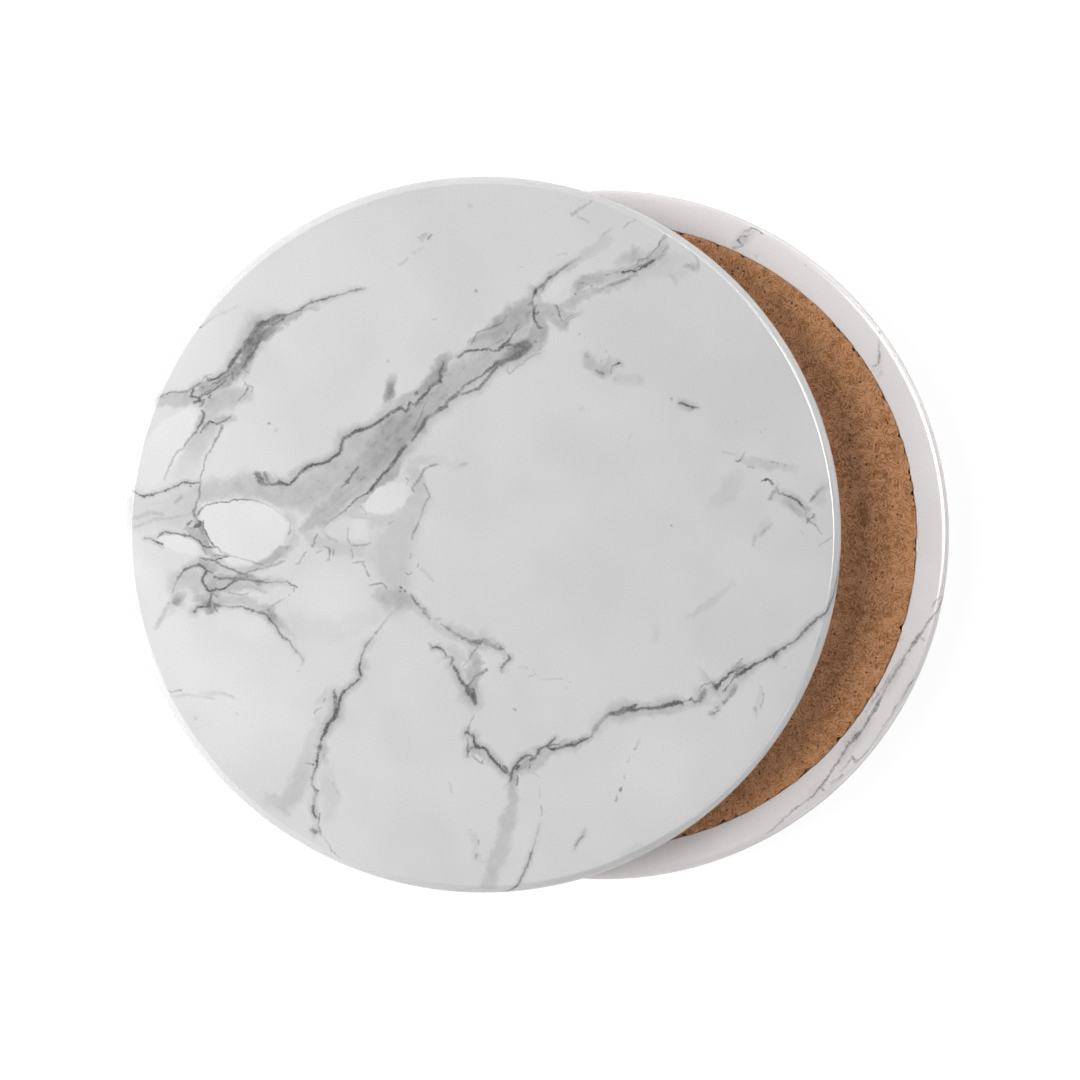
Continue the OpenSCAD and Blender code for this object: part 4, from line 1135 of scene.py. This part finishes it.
def noise(tree, place, scale, detail, roughness=0.5, across="2D"):
    """A Noise node's outputs. The scale counts per unit of the place: mostly a centimetre."""
    return add_node(tree, "ShaderNodeTexNoise", {
        "Vector": place, "Scale": scale, "Detail": detail, "Roughness": roughness},
        noise_dimensions=across).outputs


def shaken(tree, plane, *waves):
    """The plane, shaken by noise: each wave has a scale and a reach, by the centimetre."""
    for scale, reach in waves:
        shift = calculate_vector(
            tree, "SUBTRACT", noise(tree, plane, scale, 1)["Color"], [0.5] * 3)
        plane = calculate_vector(tree, "MULTIPLY_ADD", shift, [reach * 2] * 3, plane)
    return plane


# %% Build the group of planes
CM = 100
LEAST_FROM_AXIS = 0.5
SHAKES = ((9, 0.018), (32, 0.014))
WASH_SHAKES = ((4, 0.07), (14, 0.035))
FACE_FROM, FACE_WHOLE = 0.2, 0.4

planes, given, result = new_group(
    "ShaderNodeTree", "marble planes", [("Place", "Vector")],
    [("Face Plane", "Vector"), ("Wash Plane", "Vector"), ("Under Plane", "Vector"),
     ("Still Plane", "Vector"), ("Face Share", "Float")])
at = parts_of(planes, scaled(planes, given["Place"], CM))
flat_place = joined(planes, at["X"], at["Y"], 0)
from_axis = calculate(
    planes, "MAXIMUM", calculate_vector(planes, "LENGTH", flat_place), LEAST_FROM_AXIS)


def unrolled(depth):
    """The place on a plane, moved out by its depth below that plane."""
    share = calculate(planes, "DIVIDE", calculate(planes, "MAXIMUM", depth, 0), from_axis)
    return scaled(planes, flat_place, calculate(planes, "ADD", share, 1))


face_plane = unrolled(calculate(planes, "SUBTRACT", FACE_Z * CM, at["Z"]))
under_plane = unrolled(calculate(planes, "SUBTRACT", at["Z"], UNDERSIDE_Z * CM))
under_plane = calculate_vector(planes, "MULTIPLY", under_plane, (1, -1, 0))
face_share = between(planes, at["Z"], FACE_FROM, FACE_WHOLE, kind="SMOOTHSTEP")
still = mixed(planes, face_share, under_plane, face_plane, "VECTOR")
for value, socket in (
        (shaken(planes, face_plane, *SHAKES), "Face Plane"),
        (shaken(planes, face_plane, *WASH_SHAKES), "Wash Plane"),
        (shaken(planes, under_plane, *SHAKES), "Under Plane"),
        (still, "Still Plane"), (face_share, "Face Share")):
    planes.links.new(value, result[socket])
print("planes group:", len(planes.nodes), "nodes")

# %% [markdown]
# The group of tones turns darkness into a grey. Grit breaks up the cracks. A cloud and long
# streaks, which run along the slope of the main vein, make the bands uneven, and thin
# threads run through them. The white islands of the print, and the patches of painted light,
# are a little lighter than the rest of the face.

# %% Break up the cracks
GRIT = (28, 2, 0.6)
CLOUD = (5, 3, 0.65)
HAZE = (0.7, 2)
FINE = (40, 1)
CRACKS_BY_GRIT = (0.35, 0.6, 0.72, 1.15)
CRACKS_BY_CLOUD = (0.35, 0.6, 0.6, 1.2)

tones, given, result = new_group(
    "ShaderNodeTree", "marble tones",
    [("Plane", "Vector"), ("Face Share", "Float"), ("Face Cracks", "Float"),
     ("Face Bands", "Float"), ("Face Pale And Painted Light", "Float"), ("Under Cracks", "Float")],
    [("Color", "Color")])
grit, cloud, haze, fine = (
    noise(tones, given["Plane"], *kind)[0] for kind in (GRIT, CLOUD, HAZE, FINE))
cracks = mixed(tones, given["Face Share"], given["Under Cracks"], given["Face Cracks"])
broken = calculate(
    tones, "MULTIPLY", between(tones, grit, *CRACKS_BY_GRIT),
    between(tones, cloud, *CRACKS_BY_CLOUD))
cracks = calculate(tones, "MULTIPLY", cracks, broken)
print("tones group, so far:", len(tones.nodes), "nodes")

# %% Streak the bands and add threads
STREAK_TURN = math.radians(-42)
STREAK_SQUEEZE = (0.22, 1, 0)
STREAK_BEND = 0.5
STREAKS = (9, 3, 0.65)
BANDS_BY_CLOUD = (0.3, 0.7, 0.84, 1.16)
BANDS_BY_STREAKS = (0.32, 0.68, 0.86, 1.14)
THREADS = (4.5, 3, 0.6)
THREAD_LINE = (0, 0.016, 0.2, 0)
THREADS_BY_CLOUD = (0.48, 0.62)
THREADS_BY_BANDS = (0.08, 0.3)

turned = add_node(tones, "ShaderNodeVectorRotate", {
    "Vector": given["Plane"], "Angle": STREAK_TURN}, rotation_type="Z_AXIS").outputs[0]
bent = calculate_vector(
    tones, "ADD", calculate_vector(tones, "MULTIPLY", turned, STREAK_SQUEEZE),
    calculate(tones, "MULTIPLY", haze, STREAK_BEND))
streaks = noise(tones, bent, *STREAKS)[0]
bands = calculate(tones, "MULTIPLY", given["Face Bands"], given["Face Share"])
uneven = calculate(
    tones, "MULTIPLY", between(tones, cloud, *BANDS_BY_CLOUD),
    between(tones, streaks, *BANDS_BY_STREAKS))
off_middle = calculate(tones, "SUBTRACT", noise(tones, bent, *THREADS)[0], 0.5)
threads = between(tones, calculate(tones, "ABSOLUTE", off_middle), *THREAD_LINE)
threads = calculate(tones, "MULTIPLY", threads, between(tones, cloud, *THREADS_BY_CLOUD))
threads = calculate(tones, "MULTIPLY", threads, between(tones, bands, *THREADS_BY_BANDS))
bands = calculate(tones, "ADD", calculate(tones, "MULTIPLY", bands, uneven), threads)
print("tones group, so far:", len(tones.nodes), "nodes")

# %% Add up the tone
UNDERSIDE_TONE = -0.18
PALE_AND_PAINTED_LIGHT_TONE = -0.085
TONE_BY_HAZE = (0.35, 0.65, -0.02, 0.03)

left_over = calculate(tones, "SUBTRACT", 1, calculate(tones, "MAXIMUM", bands, 0))
tone = calculate(tones, "ADD", bands, calculate(tones, "MULTIPLY", cracks, left_over))
tone = calculate(tones, "ADD", tone, between(tones, haze, *TONE_BY_HAZE))
# Pale is both the white islands of the print and painted light on the face.
pale = calculate(tones, "MULTIPLY", given["Face Pale And Painted Light"], given["Face Share"])
pale = calculate(tones, "MULTIPLY", pale, PALE_AND_PAINTED_LIGHT_TONE)
pale = calculate(tones, "MULTIPLY", pale, calculate(tones, "SUBTRACT", 1, cracks))
tone = calculate(tones, "ADD", tone, pale)
tone = calculate(
    tones, "ADD", tone, between(tones, given["Face Share"], 0, 1, UNDERSIDE_TONE, 0))
print("tones group, so far:", len(tones.nodes), "nodes")

# %% Give each tone its grey
TONES = [
    (-0.4, 0.92), (-0.25, 0.84), (0, 0.66), (0.12, 0.565), (0.25, 0.474), (0.5, 0.319),
    (0.75, 0.202), (1, 0.114), (1.35, 0.045)]
PALEST, DARKEST = TONES[0][0], TONES[-1][0]
UNDERSIDE_TINT, FACE_TINT = (1.03, 0.985, 0.98), (1, 1, 1)
GREY_BY_FINE = (0.3, 0.7, 0.97, 1.03)


def grey(level):
    """An opaque grey."""
    return (level, level, level, 1)


ramp = add_node(tones, "ShaderNodeValToRGB", {0: between(tones, tone, PALEST, DARKEST)})
while len(ramp.color_ramp.elements) < len(TONES):
    ramp.color_ramp.elements.new(0.5)
for element, (dark, level) in zip(ramp.color_ramp.elements, TONES):
    element.position = (dark - PALEST) / (DARKEST - PALEST)
    element.color = grey(level)
tint = mixed(tones, given["Face Share"], UNDERSIDE_TINT, FACE_TINT, "VECTOR")
tinted = calculate_vector(tones, "MULTIPLY", ramp.outputs[0], tint)
tones.links.new(scaled(tones, tinted, between(tones, fine, *GREY_BY_FINE)), result["Color"])
print("tones group:", len(tones.nodes), "nodes")


# %% Make the glaze of each sector
GLAZE_ROUGHNESS = 0.24
GLAZE_IOR = 1.5


def group_node(tree, group, inputs):
    """A group placed in a tree, with its inputs linked."""
    made = add_node(tree, "ShaderNodeGroup", node_tree=group)
    for name, value in inputs.items():
        tree.links.new(value, made.inputs[name])
    return made.outputs


def new_material(name):
    """A material with its tree and its Principled shader."""
    material = bpy.data.materials.new(name)
    material.use_nodes = True
    return material, material.node_tree, material.node_tree.nodes["Principled BSDF"]


def place_in(tree):
    """The place of a point on its own piece, as the turning tree stored it."""
    return add_node(tree, "ShaderNodeAttribute", attribute_name="place").outputs["Vector"]


def glaze_material(sector):
    """The marbled glaze of one sector."""
    material, tree, shader = new_material(f"marbled glaze {sector + 1}")
    laid = group_node(tree, planes, {"Place": place_in(tree)})
    veins = group_node(tree, vein_groups[sector], {
        name: laid[name] for name in ("Face Plane", "Wash Plane", "Under Plane")})
    marble = group_node(tree, tones, {
        "Plane": laid["Still Plane"], "Face Share": laid["Face Share"],
        "Face Cracks": veins["Face Cracks"], "Face Bands": veins["Face Bands"],
        "Face Pale And Painted Light": veins["Face Pale And Painted Light"], "Under Cracks": veins["Under Cracks"]})
    tree.links.new(marble["Color"], shader.inputs["Base Color"])
    shader.inputs["Roughness"].default_value = GLAZE_ROUGHNESS
    shader.inputs["IOR"].default_value = GLAZE_IOR
    return material


glazes = [glaze_material(sector) for sector in range(SECTORS)]
print(len(glazes), "glazes")


def lay_glazes(piece):
    """Gives each face of a tile, still in its own place, the glaze of its sector."""
    piece.data.materials.clear()
    for glaze in glazes:
        piece.data.materials.append(glaze)
    for face in piece.data.polygons:
        turned = math.atan2(face.center.y, face.center.x) % math.tau
        face.material_index = int(turned / math.tau * SECTORS) % SECTORS


# %% [markdown]
# ## Tiles
# The tile's profile runs from the middle of the recess out over the lip, the ring, the side
# and the crown, and back in over the face. Each tile is turned in its own place, so that
# the pattern falls right, and moved to its place in the pair afterwards.

# %% Work out the profile of a tile
crown_at = (TILE_R - CROWN_R, FACE_Z - CROWN_DEPTH)
face_round_at = (
    crown_at[0] + math.sqrt((CROWN_R - FACE_ROUND) ** 2 - (CROWN_DEPTH - FACE_ROUND) ** 2),
    FACE_Z - FACE_ROUND)
blend_angle = math.degrees(
    math.atan2(face_round_at[1] - crown_at[1], face_round_at[0] - crown_at[0]))
lip_arc = arc((RECESS_R + LIP_ROUND, UNDERSIDE_Z + LIP_ROUND), LIP_ROUND, 180, 270)
base_arc = arc((TILE_R - BASE_ROUND, UNDERSIDE_Z + BASE_ROUND), BASE_ROUND, -90, 0)
crown_arc = arc(crown_at, CROWN_R, 0, blend_angle)
face_arc = arc(face_round_at, FACE_ROUND, blend_angle, 90)[1:]
recess_centre, recess_corner = (0, RECESS_Z), (RECESS_R, RECESS_Z)
tile_profile = [
    recess_centre, *flat(recess_centre, recess_corner), recess_corner,
    *flat(recess_corner, lip_arc[0], pieces=2), *lip_arc, *flat(lip_arc[-1], base_arc[0]),
    *base_arc, *flat(base_arc[-1], crown_arc[0], pieces=4), *crown_arc, *face_arc,
    *flat(face_arc[-1], (0, FACE_Z)), (0, FACE_Z)]
print("the tile's profile has", len(tile_profile), "points")

# %% Turn the tiles
upper_tile = turned_piece("upper_marbled_tile", tile_profile, glazes[0])
lay_glazes(upper_tile)
upper_tile.data.transform(UPPER_PLACE)
lower_tile = turned_piece("lower_marbled_tile", tile_profile, glazes[0])
lay_glazes(lower_tile)
lower_tile.data.transform(LOWER_PLACE)

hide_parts("upper_tile")
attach(upper_tile, "upper_coaster")
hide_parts("lower_tile")
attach(lower_tile, "lower_coaster")

# %% [markdown]
# ## Cork pads
# The pads are punched from a sheet of agglomerated cork, which is crumbs of bark pressed
# together with a binder. Its surface is nearly flat, with shallow pits between the crumbs,
# and some crumbs break away at the punched edge. The pad is turned like a tile, with a fine
# mesh on the side that shows. A second tree then presses pits in and chips the edge. It
# only ever moves points inwards.

# %% Build the cork relief tree
CRUMB_SCALE = 900
DENT_SCALE = 1500
CHIP_SCALE, CHIP_ROUGHNESS = 1700, 0.6
CHIP_SHARE = (0.53, 0.59)
CHIPPED_WIDTH = 0.9 * MM

relief, given, result = new_group(
    "GeometryNodeTree", "cork relief",
    [("Geometry", "Geometry"), ("Pit Depth", "Float"), ("Chip Depth", "Float"),
     ("Seed", "Float"), ("Material", "Material")],
    [("Geometry", "Geometry")])
at = add_node(relief, "GeometryNodeInputPosition").outputs[0]


def seeded_noise(scale, roughness=0.5):
    """A noise that the seed changes, with a scale per metre."""
    return add_node(relief, "ShaderNodeTexNoise", {
        "Vector": at, "W": given["Seed"], "Scale": scale, "Detail": 1, "Roughness": roughness},
        noise_dimensions="4D").outputs[0]


crumbs = add_node(relief, "ShaderNodeTexVoronoi", {
    "Vector": at, "W": given["Seed"], "Scale": CRUMB_SCALE},
    voronoi_dimensions="4D").outputs["Distance"]
pit = calculate(relief, "MULTIPLY", crumbs, seeded_noise(DENT_SCALE))
pit = calculate(relief, "MULTIPLY", pit, given["Pit Depth"])
normal = add_node(relief, "GeometryNodeInputNormal").outputs[0]
bump_in = scaled(relief, normal, calculate(relief, "MULTIPLY", pit, -1))
radial = calculate_vector(relief, "MULTIPLY", at, (1, 1, 0))
from_edge = calculate(relief, "SUBTRACT", CORK_R, calculate_vector(relief, "LENGTH", radial))
edge_share = between(relief, from_edge, 0, CHIPPED_WIDTH, 1, 0)
chip = between(relief, seeded_noise(CHIP_SCALE, CHIP_ROUGHNESS), *CHIP_SHARE)
chip = calculate(
    relief, "MULTIPLY", calculate(relief, "MULTIPLY", chip, edge_share),
    calculate(relief, "MULTIPLY", given["Chip Depth"], -1))
chip_in = scaled(relief, calculate_vector(relief, "NORMALIZE", radial), chip)
pressed = add_node(relief, "GeometryNodeSetPosition", {
    "Geometry": given["Geometry"], "Offset": calculate_vector(relief, "ADD", bump_in, chip_in)})
cork_real = add_node(relief, "GeometryNodeRealizeInstances", {"Geometry": pressed.outputs[0]})
cork_dressed = add_node(relief, "GeometryNodeSetMaterial", {
    "Geometry": cork_real.outputs[0], "Material": given["Material"]})
relief.links.new(cork_dressed.outputs[0], result["Geometry"])
print("cork relief tree:", len(relief.nodes), "nodes")

# %% [markdown]
# Cork's colour comes from its crumbs, between pale fibres and nearly black specks of bark.
# A noise mixes two browns, and a broader one lays lighter and darker patches over them.
# The fibres are short parallel ridges, turned another way in each cell of a Voronoi texture.
# The dark lines between them are partly the cork's own grain and partly painted shade in the
# low hollows. The specks are the hearts of some cells.

# %% Make helpers for the cork
grain, given, result = new_group(
    "ShaderNodeTree", "cork grain", [("Place", "Vector")],
    [("Color", "Color"), ("Height", "Float")])
spot = scaled(grain, given["Place"], CM)


def laid_over(under, over, share):
    """A colour laid over another by a share."""
    return mixed(grain, share, under, (*over, 1), "RGBA")


def cells(place, scale):
    """Voronoi cells: the distance to the heart, and three random values for each cell."""
    made = add_node(grain, "ShaderNodeTexVoronoi", {"Vector": place, "Scale": scale}).outputs
    return made["Distance"], add_node(grain, "ShaderNodeSeparateColor", {0: made["Color"]}).outputs


def ridges(place, scale, pitch, shift):
    """Short parallel ridges, turned another way in each cell, and the cells' random values."""
    moved = calculate_vector(grain, "ADD", place, shift)
    random = cells(moved, scale)[1]
    turned = add_node(grain, "ShaderNodeVectorRotate", {
        "Vector": moved, "Angle": calculate(grain, "MULTIPLY", random[0], math.tau)},
        rotation_type="Z_AXIS").outputs[0]
    phase = calculate(
        grain, "ADD", calculate(grain, "MULTIPLY", parts_of(grain, turned)[0], math.tau * pitch),
        calculate(grain, "MULTIPLY", random[1], math.tau))
    return calculate(grain, "SINE", phase), random


def stronger(both, height_range, cell_range):
    """The stronger of two sets of ridges, each cut to a range of heights in some cells only."""
    return calculate(grain, "MAXIMUM", *[
        calculate(
            grain, "MULTIPLY", between(grain, height, *height_range),
            between(grain, random[2], *cell_range))
        for height, random in both])


print("cork grain, so far:", len(grain.nodes), "nodes")

# %% Lay the browns of the cork
BEND = (10, 1)
BEND_REACH = (0.14, 0.14, 0)
CRUMBS = (11, 2, 0.7)
PATCHES = (2.5, 3)
DARK_BROWN, LIGHT_BROWN = (0.32, 0.128, 0.048), (0.53, 0.226, 0.097)
LIGHT_PATCH, DARK_PATCH = (0.55, 0.266, 0.122), (0.28, 0.122, 0.05)
# The rim brown is partly the cork's own orange rim and partly painted light.
RIM_BROWN_AND_PAINTED_LIGHT = (0.65, 0.295, 0.115)
BROWN_BY_CRUMBS = (0.3, 0.7)
LIGHT_BY_PATCHES = (0.5, 0.65, 0, 0.5)
DARK_BY_PATCHES = (0.45, 0.35, 0, 0.5)
RIM_AND_PAINTED_LIGHT_BY_RADIUS = (3.9, 4.48, 0, 0.35)

bend = noise(grain, spot, *BEND, across="3D")["Color"]
bent = calculate_vector(
    grain, "ADD", spot, calculate_vector(grain, "MULTIPLY", bend, BEND_REACH))
crumb_tone = noise(grain, spot, *CRUMBS, across="3D")[0]
patches = noise(grain, spot, *PATCHES, across="3D")[0]
from_middle = calculate_vector(
    grain, "LENGTH", calculate_vector(grain, "MULTIPLY", spot, (1, 1, 0)))
brown = laid_over((*DARK_BROWN, 1), LIGHT_BROWN, between(grain, crumb_tone, *BROWN_BY_CRUMBS))
brown = laid_over(brown, LIGHT_PATCH, between(grain, patches, *LIGHT_BY_PATCHES))
brown = laid_over(brown, DARK_PATCH, between(grain, patches, *DARK_BY_PATCHES))
# Partly the cork's own orange rim and partly painted light: towards its outer edge the pad is made
# lighter and more orange, so its middle looks shaded.
brown = laid_over(brown, RIM_BROWN_AND_PAINTED_LIGHT, between(grain, from_middle, *RIM_AND_PAINTED_LIGHT_BY_RADIUS))
print("cork grain, so far:", len(grain.nodes), "nodes")

# %% Lay the fibres and specks of the cork
COARSE_RIDGES = (10, 19, (0, 0, 0))
NARROW_RIDGES = (14, 24, (7, 3, 1))
SPECK_SCALE = 13
GROOVE_BY_HEIGHT, GROOVE_BY_CELL = (-0.3, -0.9), (0.6, 0.3)
FIBRE_BY_HEIGHT, FIBRE_BY_CELL = (0.1, 0.9), (0.2, 0.6)
SPECK_BY_HEART = (0.12, 0.3, 1, 0, "SMOOTHSTEP")
SPECK_BY_CELL = (0.6, 0.8)
GROOVE_AND_PAINTED_SHADE_SHARE, GROOVE_BROWN_AND_PAINTED_SHADE = 0.5, (0.12, 0.058, 0.016)
FIBRE_SHARE, FIBRE_BROWN = 0.65, (0.72, 0.39, 0.205)
SPECK_SHARE, SPECK_BROWN = 0.9, (0.05, 0.02, 0.01)

speck_from, speck_random = cells(spot, SPECK_SCALE)
both = (ridges(bent, *COARSE_RIDGES), ridges(bent, *NARROW_RIDGES))
# The dark brown of the low lines between the ridges is partly the cork's own grain and partly
# painted shade.
grooves_and_painted_shade = stronger(both, GROOVE_BY_HEIGHT, GROOVE_BY_CELL)
fibres = stronger(both, FIBRE_BY_HEIGHT, FIBRE_BY_CELL)
specks = calculate(
    grain, "MULTIPLY", between(grain, speck_from, *SPECK_BY_HEART),
    between(grain, speck_random[0], *SPECK_BY_CELL))
for marks, share, colour in (
        (grooves_and_painted_shade, GROOVE_AND_PAINTED_SHADE_SHARE, GROOVE_BROWN_AND_PAINTED_SHADE), (fibres, FIBRE_SHARE, FIBRE_BROWN),
        (specks, SPECK_SHARE, SPECK_BROWN)):
    brown = laid_over(brown, colour, calculate(grain, "MULTIPLY", marks, share))
rise = calculate(
    grain, "SUBTRACT", calculate(grain, "ADD", fibres, 1),
    calculate(grain, "ADD", specks, grooves_and_painted_shade))
grain.links.new(brown, result["Color"])
grain.links.new(rise, result["Height"])
print("cork grain:", len(grain.nodes), "nodes")

# %% Make the cork material
CORK_ROUGHNESS = 0.85
CORK_GLOSS = 0.12
BUMP_STRENGTH = 0.35
BUMP_DISTANCE = 0.05 * MM

cork, tree, shader = new_material("cork")
cork_marks = group_node(tree, grain, {"Place": place_in(tree)})
bumped = add_node(tree, "ShaderNodeBump", {
    "Height": cork_marks["Height"], "Strength": BUMP_STRENGTH, "Distance": BUMP_DISTANCE})
tree.links.new(cork_marks["Color"], shader.inputs["Base Color"])
tree.links.new(bumped.outputs[0], shader.inputs["Normal"])
shader.inputs["Roughness"].default_value = CORK_ROUGHNESS
shader.inputs["Specular IOR Level"].default_value = CORK_GLOSS
print("cork material:", len(tree.nodes), "nodes")

# %% [markdown]
# A punched pad swells a little once the tile holds it, so its edge is drawn 0.15 mm farther
# out than the model's. That stays inside the 0.2 mm gap round it. The side that shows gets
# many more points than the side that lies on the glue.

# %% Turn the cork pads and press their relief
CORK_STEPS = 560
CORK_SWELL = 0.15 * MM
FINE_PIECES = 100
PIT_DEPTH = 0.12 * MM
CHIP_DEPTH = 0.5 * MM
EDGE_ROUND_SHARE = 0.7
SIDE_SHARES = (0.4, 0.7, 1)

edge_r = CORK_R + CORK_SWELL
edge_round = CORK_ROUND * EDGE_ROUND_SHARE
edge_arc = arc((edge_r - edge_round, edge_round), edge_round, -90, 0)
cork_profile = [
    (0, 0), *flat((0, 0), edge_arc[0], pieces=FINE_PIECES), *edge_arc[::2],
    *[(edge_r, CORK_T * share) for share in SIDE_SHARES], (edge_r - MM, CORK_T),
    (edge_r / 2, CORK_T), (0, CORK_T)]


def pressed_cork(name, place, seed):
    """A cork pad with its relief, moved to its place."""
    made = turned_piece(name, cork_profile, cork, CORK_STEPS)
    plain_mesh = made.data
    made.data = made_by(relief, made, {
        "Pit Depth": PIT_DEPTH, "Chip Depth": CHIP_DEPTH, "Seed": seed, "Material": cork})
    made.modifiers.clear()
    bpy.data.meshes.remove(plain_mesh)
    made.data.transform(place)
    print(name, "has", len(made.data.polygons), "faces")
    return made


upper_cork = pressed_cork("upper_pressed_cork", UPPER_PLACE, 1.0)
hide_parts("upper_cork_pad")
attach(upper_cork, "upper_coaster")
lower_cork = pressed_cork("lower_pressed_cork", LOWER_PLACE, 2.0)
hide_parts("lower_cork_pad")
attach(lower_cork, "lower_coaster")

# %% [markdown]
# ## Glue sheets
# The glue is hidden between the cork and the tile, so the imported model's own sheets stay.
# Cured contact adhesive is amber and a little uneven.

# %% Make the glue material
DARK_AMBER, LIGHT_AMBER = (0.62, 0.5, 0.3, 1), (0.74, 0.64, 0.44, 1)
MOTTLE = (300, 3)
GLUE_ROUGHNESS = 0.4

glue, tree, shader = new_material("cured glue")
glue_at = add_node(tree, "ShaderNodeTexCoord").outputs["Object"]
mottle = noise(tree, glue_at, *MOTTLE, across="3D")[0]
amber = mixed(tree, mottle, DARK_AMBER, LIGHT_AMBER, "RGBA")
tree.links.new(amber, shader.inputs["Base Color"])
shader.inputs["Roughness"].default_value = GLUE_ROUGHNESS
for node_name in ("upper_glue_sheet", "lower_glue_sheet"):
    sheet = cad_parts[node_name]
    sheet.data.materials.clear()
    sheet.data.materials.append(glue)
    print(node_name, "gets", glue.name)

# %% [markdown]
# ## Table
# The photograph's ground is plain white with hardly a shadow. So what the camera sees of
# the table glows, with a faint matt layer for the shadow. All other light meets a plain
# matt white, which keeps the glow out of the shading, and a gloss sees half of each.

# %% Make the table
TABLE_HALF = 1.5
MATT_LEVEL = 0.8
SEEN_LEVEL = 0.15
SEEN_GLOW = 0.92
GLOSS_SHARE = 0.5

floor_mesh = bpy.data.meshes.new("table")
corners = [(x * TABLE_HALF, y * TABLE_HALF, 0) for x, y in ((-1, -1), (1, -1), (1, 1), (-1, 1))]
floor_mesh.from_pydata(corners, [], [(0, 1, 2, 3)])
table = bpy.data.objects.new("table", floor_mesh)
bpy.context.scene.collection.objects.link(table)


def seen_directly(tree, gloss=1):
    """1 for what the camera sees directly or through glass, and a share of it for a gloss."""
    path = add_node(tree, "ShaderNodeLightPath").outputs
    glossy = calculate(tree, "MULTIPLY", path["Is Glossy Ray"], gloss)
    either = calculate(tree, "MAXIMUM", path["Is Camera Ray"], glossy)
    return calculate(tree, "MAXIMUM", either, path["Is Transmission Ray"])


paper = bpy.data.materials.new("pale table")
paper.use_nodes = True
tree = paper.node_tree
tree.nodes.clear()
matt = add_node(tree, "ShaderNodeBsdfDiffuse", {"Color": grey(MATT_LEVEL)})
faint = add_node(tree, "ShaderNodeBsdfDiffuse", {"Color": grey(SEEN_LEVEL)})
glow = add_node(tree, "ShaderNodeEmission", {"Color": grey(1), "Strength": SEEN_GLOW})
both = add_node(tree, "ShaderNodeAddShader", {0: glow.outputs[0], 1: faint.outputs[0]})
mix = add_node(tree, "ShaderNodeMixShader", {
    0: seen_directly(tree, GLOSS_SHARE), 1: matt.outputs[0], 2: both.outputs[0]})
add_node(tree, "ShaderNodeOutputMaterial", {"Surface": mix.outputs[0]})
floor_mesh.materials.append(paper)
print("table:", 2 * TABLE_HALF, "m wide")

# %% [markdown]
# ## Light
# The sky is dim overhead and bright near the horizon, most of all at the back and on the
# left. The camera and any gloss see it as plain white. A broad soft lamp at the left makes
# the shadow on the cork. Two low lamps at the right light the crowned edges there, and a
# fourth only gives the thin bright line along them, because just the gloss sees it.

# %% Light the sky
SKY_LEVEL = 0.13
HORIZON_LEVEL = 1.15
HORIZON_TOP = 0.5
BACK_SHARE, RIGHT_SHARE = 0.5, -0.35

world = bpy.data.worlds.new("studio")
bpy.context.scene.world = world
world.use_nodes = True
tree = world.node_tree
tree.nodes.clear()
toward = parts_of(tree, add_node(tree, "ShaderNodeTexCoord").outputs["Generated"])
lean = calculate(
    tree, "ADD", calculate(tree, "MULTIPLY", toward[1], BACK_SHARE),
    calculate(tree, "MULTIPLY", toward[0], RIGHT_SHARE))
horizon = calculate(tree, "MULTIPLY", calculate(tree, "ADD", lean, 1), HORIZON_LEVEL)
round_about = between(tree, toward[2], 0, HORIZON_TOP, horizon, SKY_LEVEL, "SMOOTHSTEP")
level = mixed(tree, seen_directly(tree), round_about, 1)
sky = add_node(tree, "ShaderNodeBackground", {"Color": grey(1), "Strength": level})
add_node(tree, "ShaderNodeOutputWorld", {"Surface": sky.outputs[0]})
print("sky:", len(tree.nodes), "nodes")


# %% Place the lamps
LAMPS = (
    ("key", (-0.34, 0.02, 0.36), (0.28, 0.28), 2.5),
    ("upper side", (0.38, 0.32, 0.05), (0.4, 0.06), 1.1),
    ("lower side", (0.38, -0.34, 0.04), (0.3, 0.05), 0.6),
    ("glint", (0.44, 0.13, 0.44), (0.34, 0.26), 9.5))


def lamp(name, at, size, power):
    """A rectangular lamp that looks at the middle of the pair, in metres and watts."""
    data = bpy.data.lights.new(name, "AREA")
    data.shape = "RECTANGLE"
    data.size, data.size_y = size
    data.energy = power
    made = bpy.data.objects.new(name, data)
    bpy.context.scene.collection.objects.link(made)
    made.location = at
    made.rotation_euler = (-Vector(at)).to_track_quat("-Z", "Y").to_euler()
    return made


lamps = {values[0]: lamp(*values) for values in LAMPS}
lamps["glint"].visible_diffuse = False
print("lamps:", list(lamps))
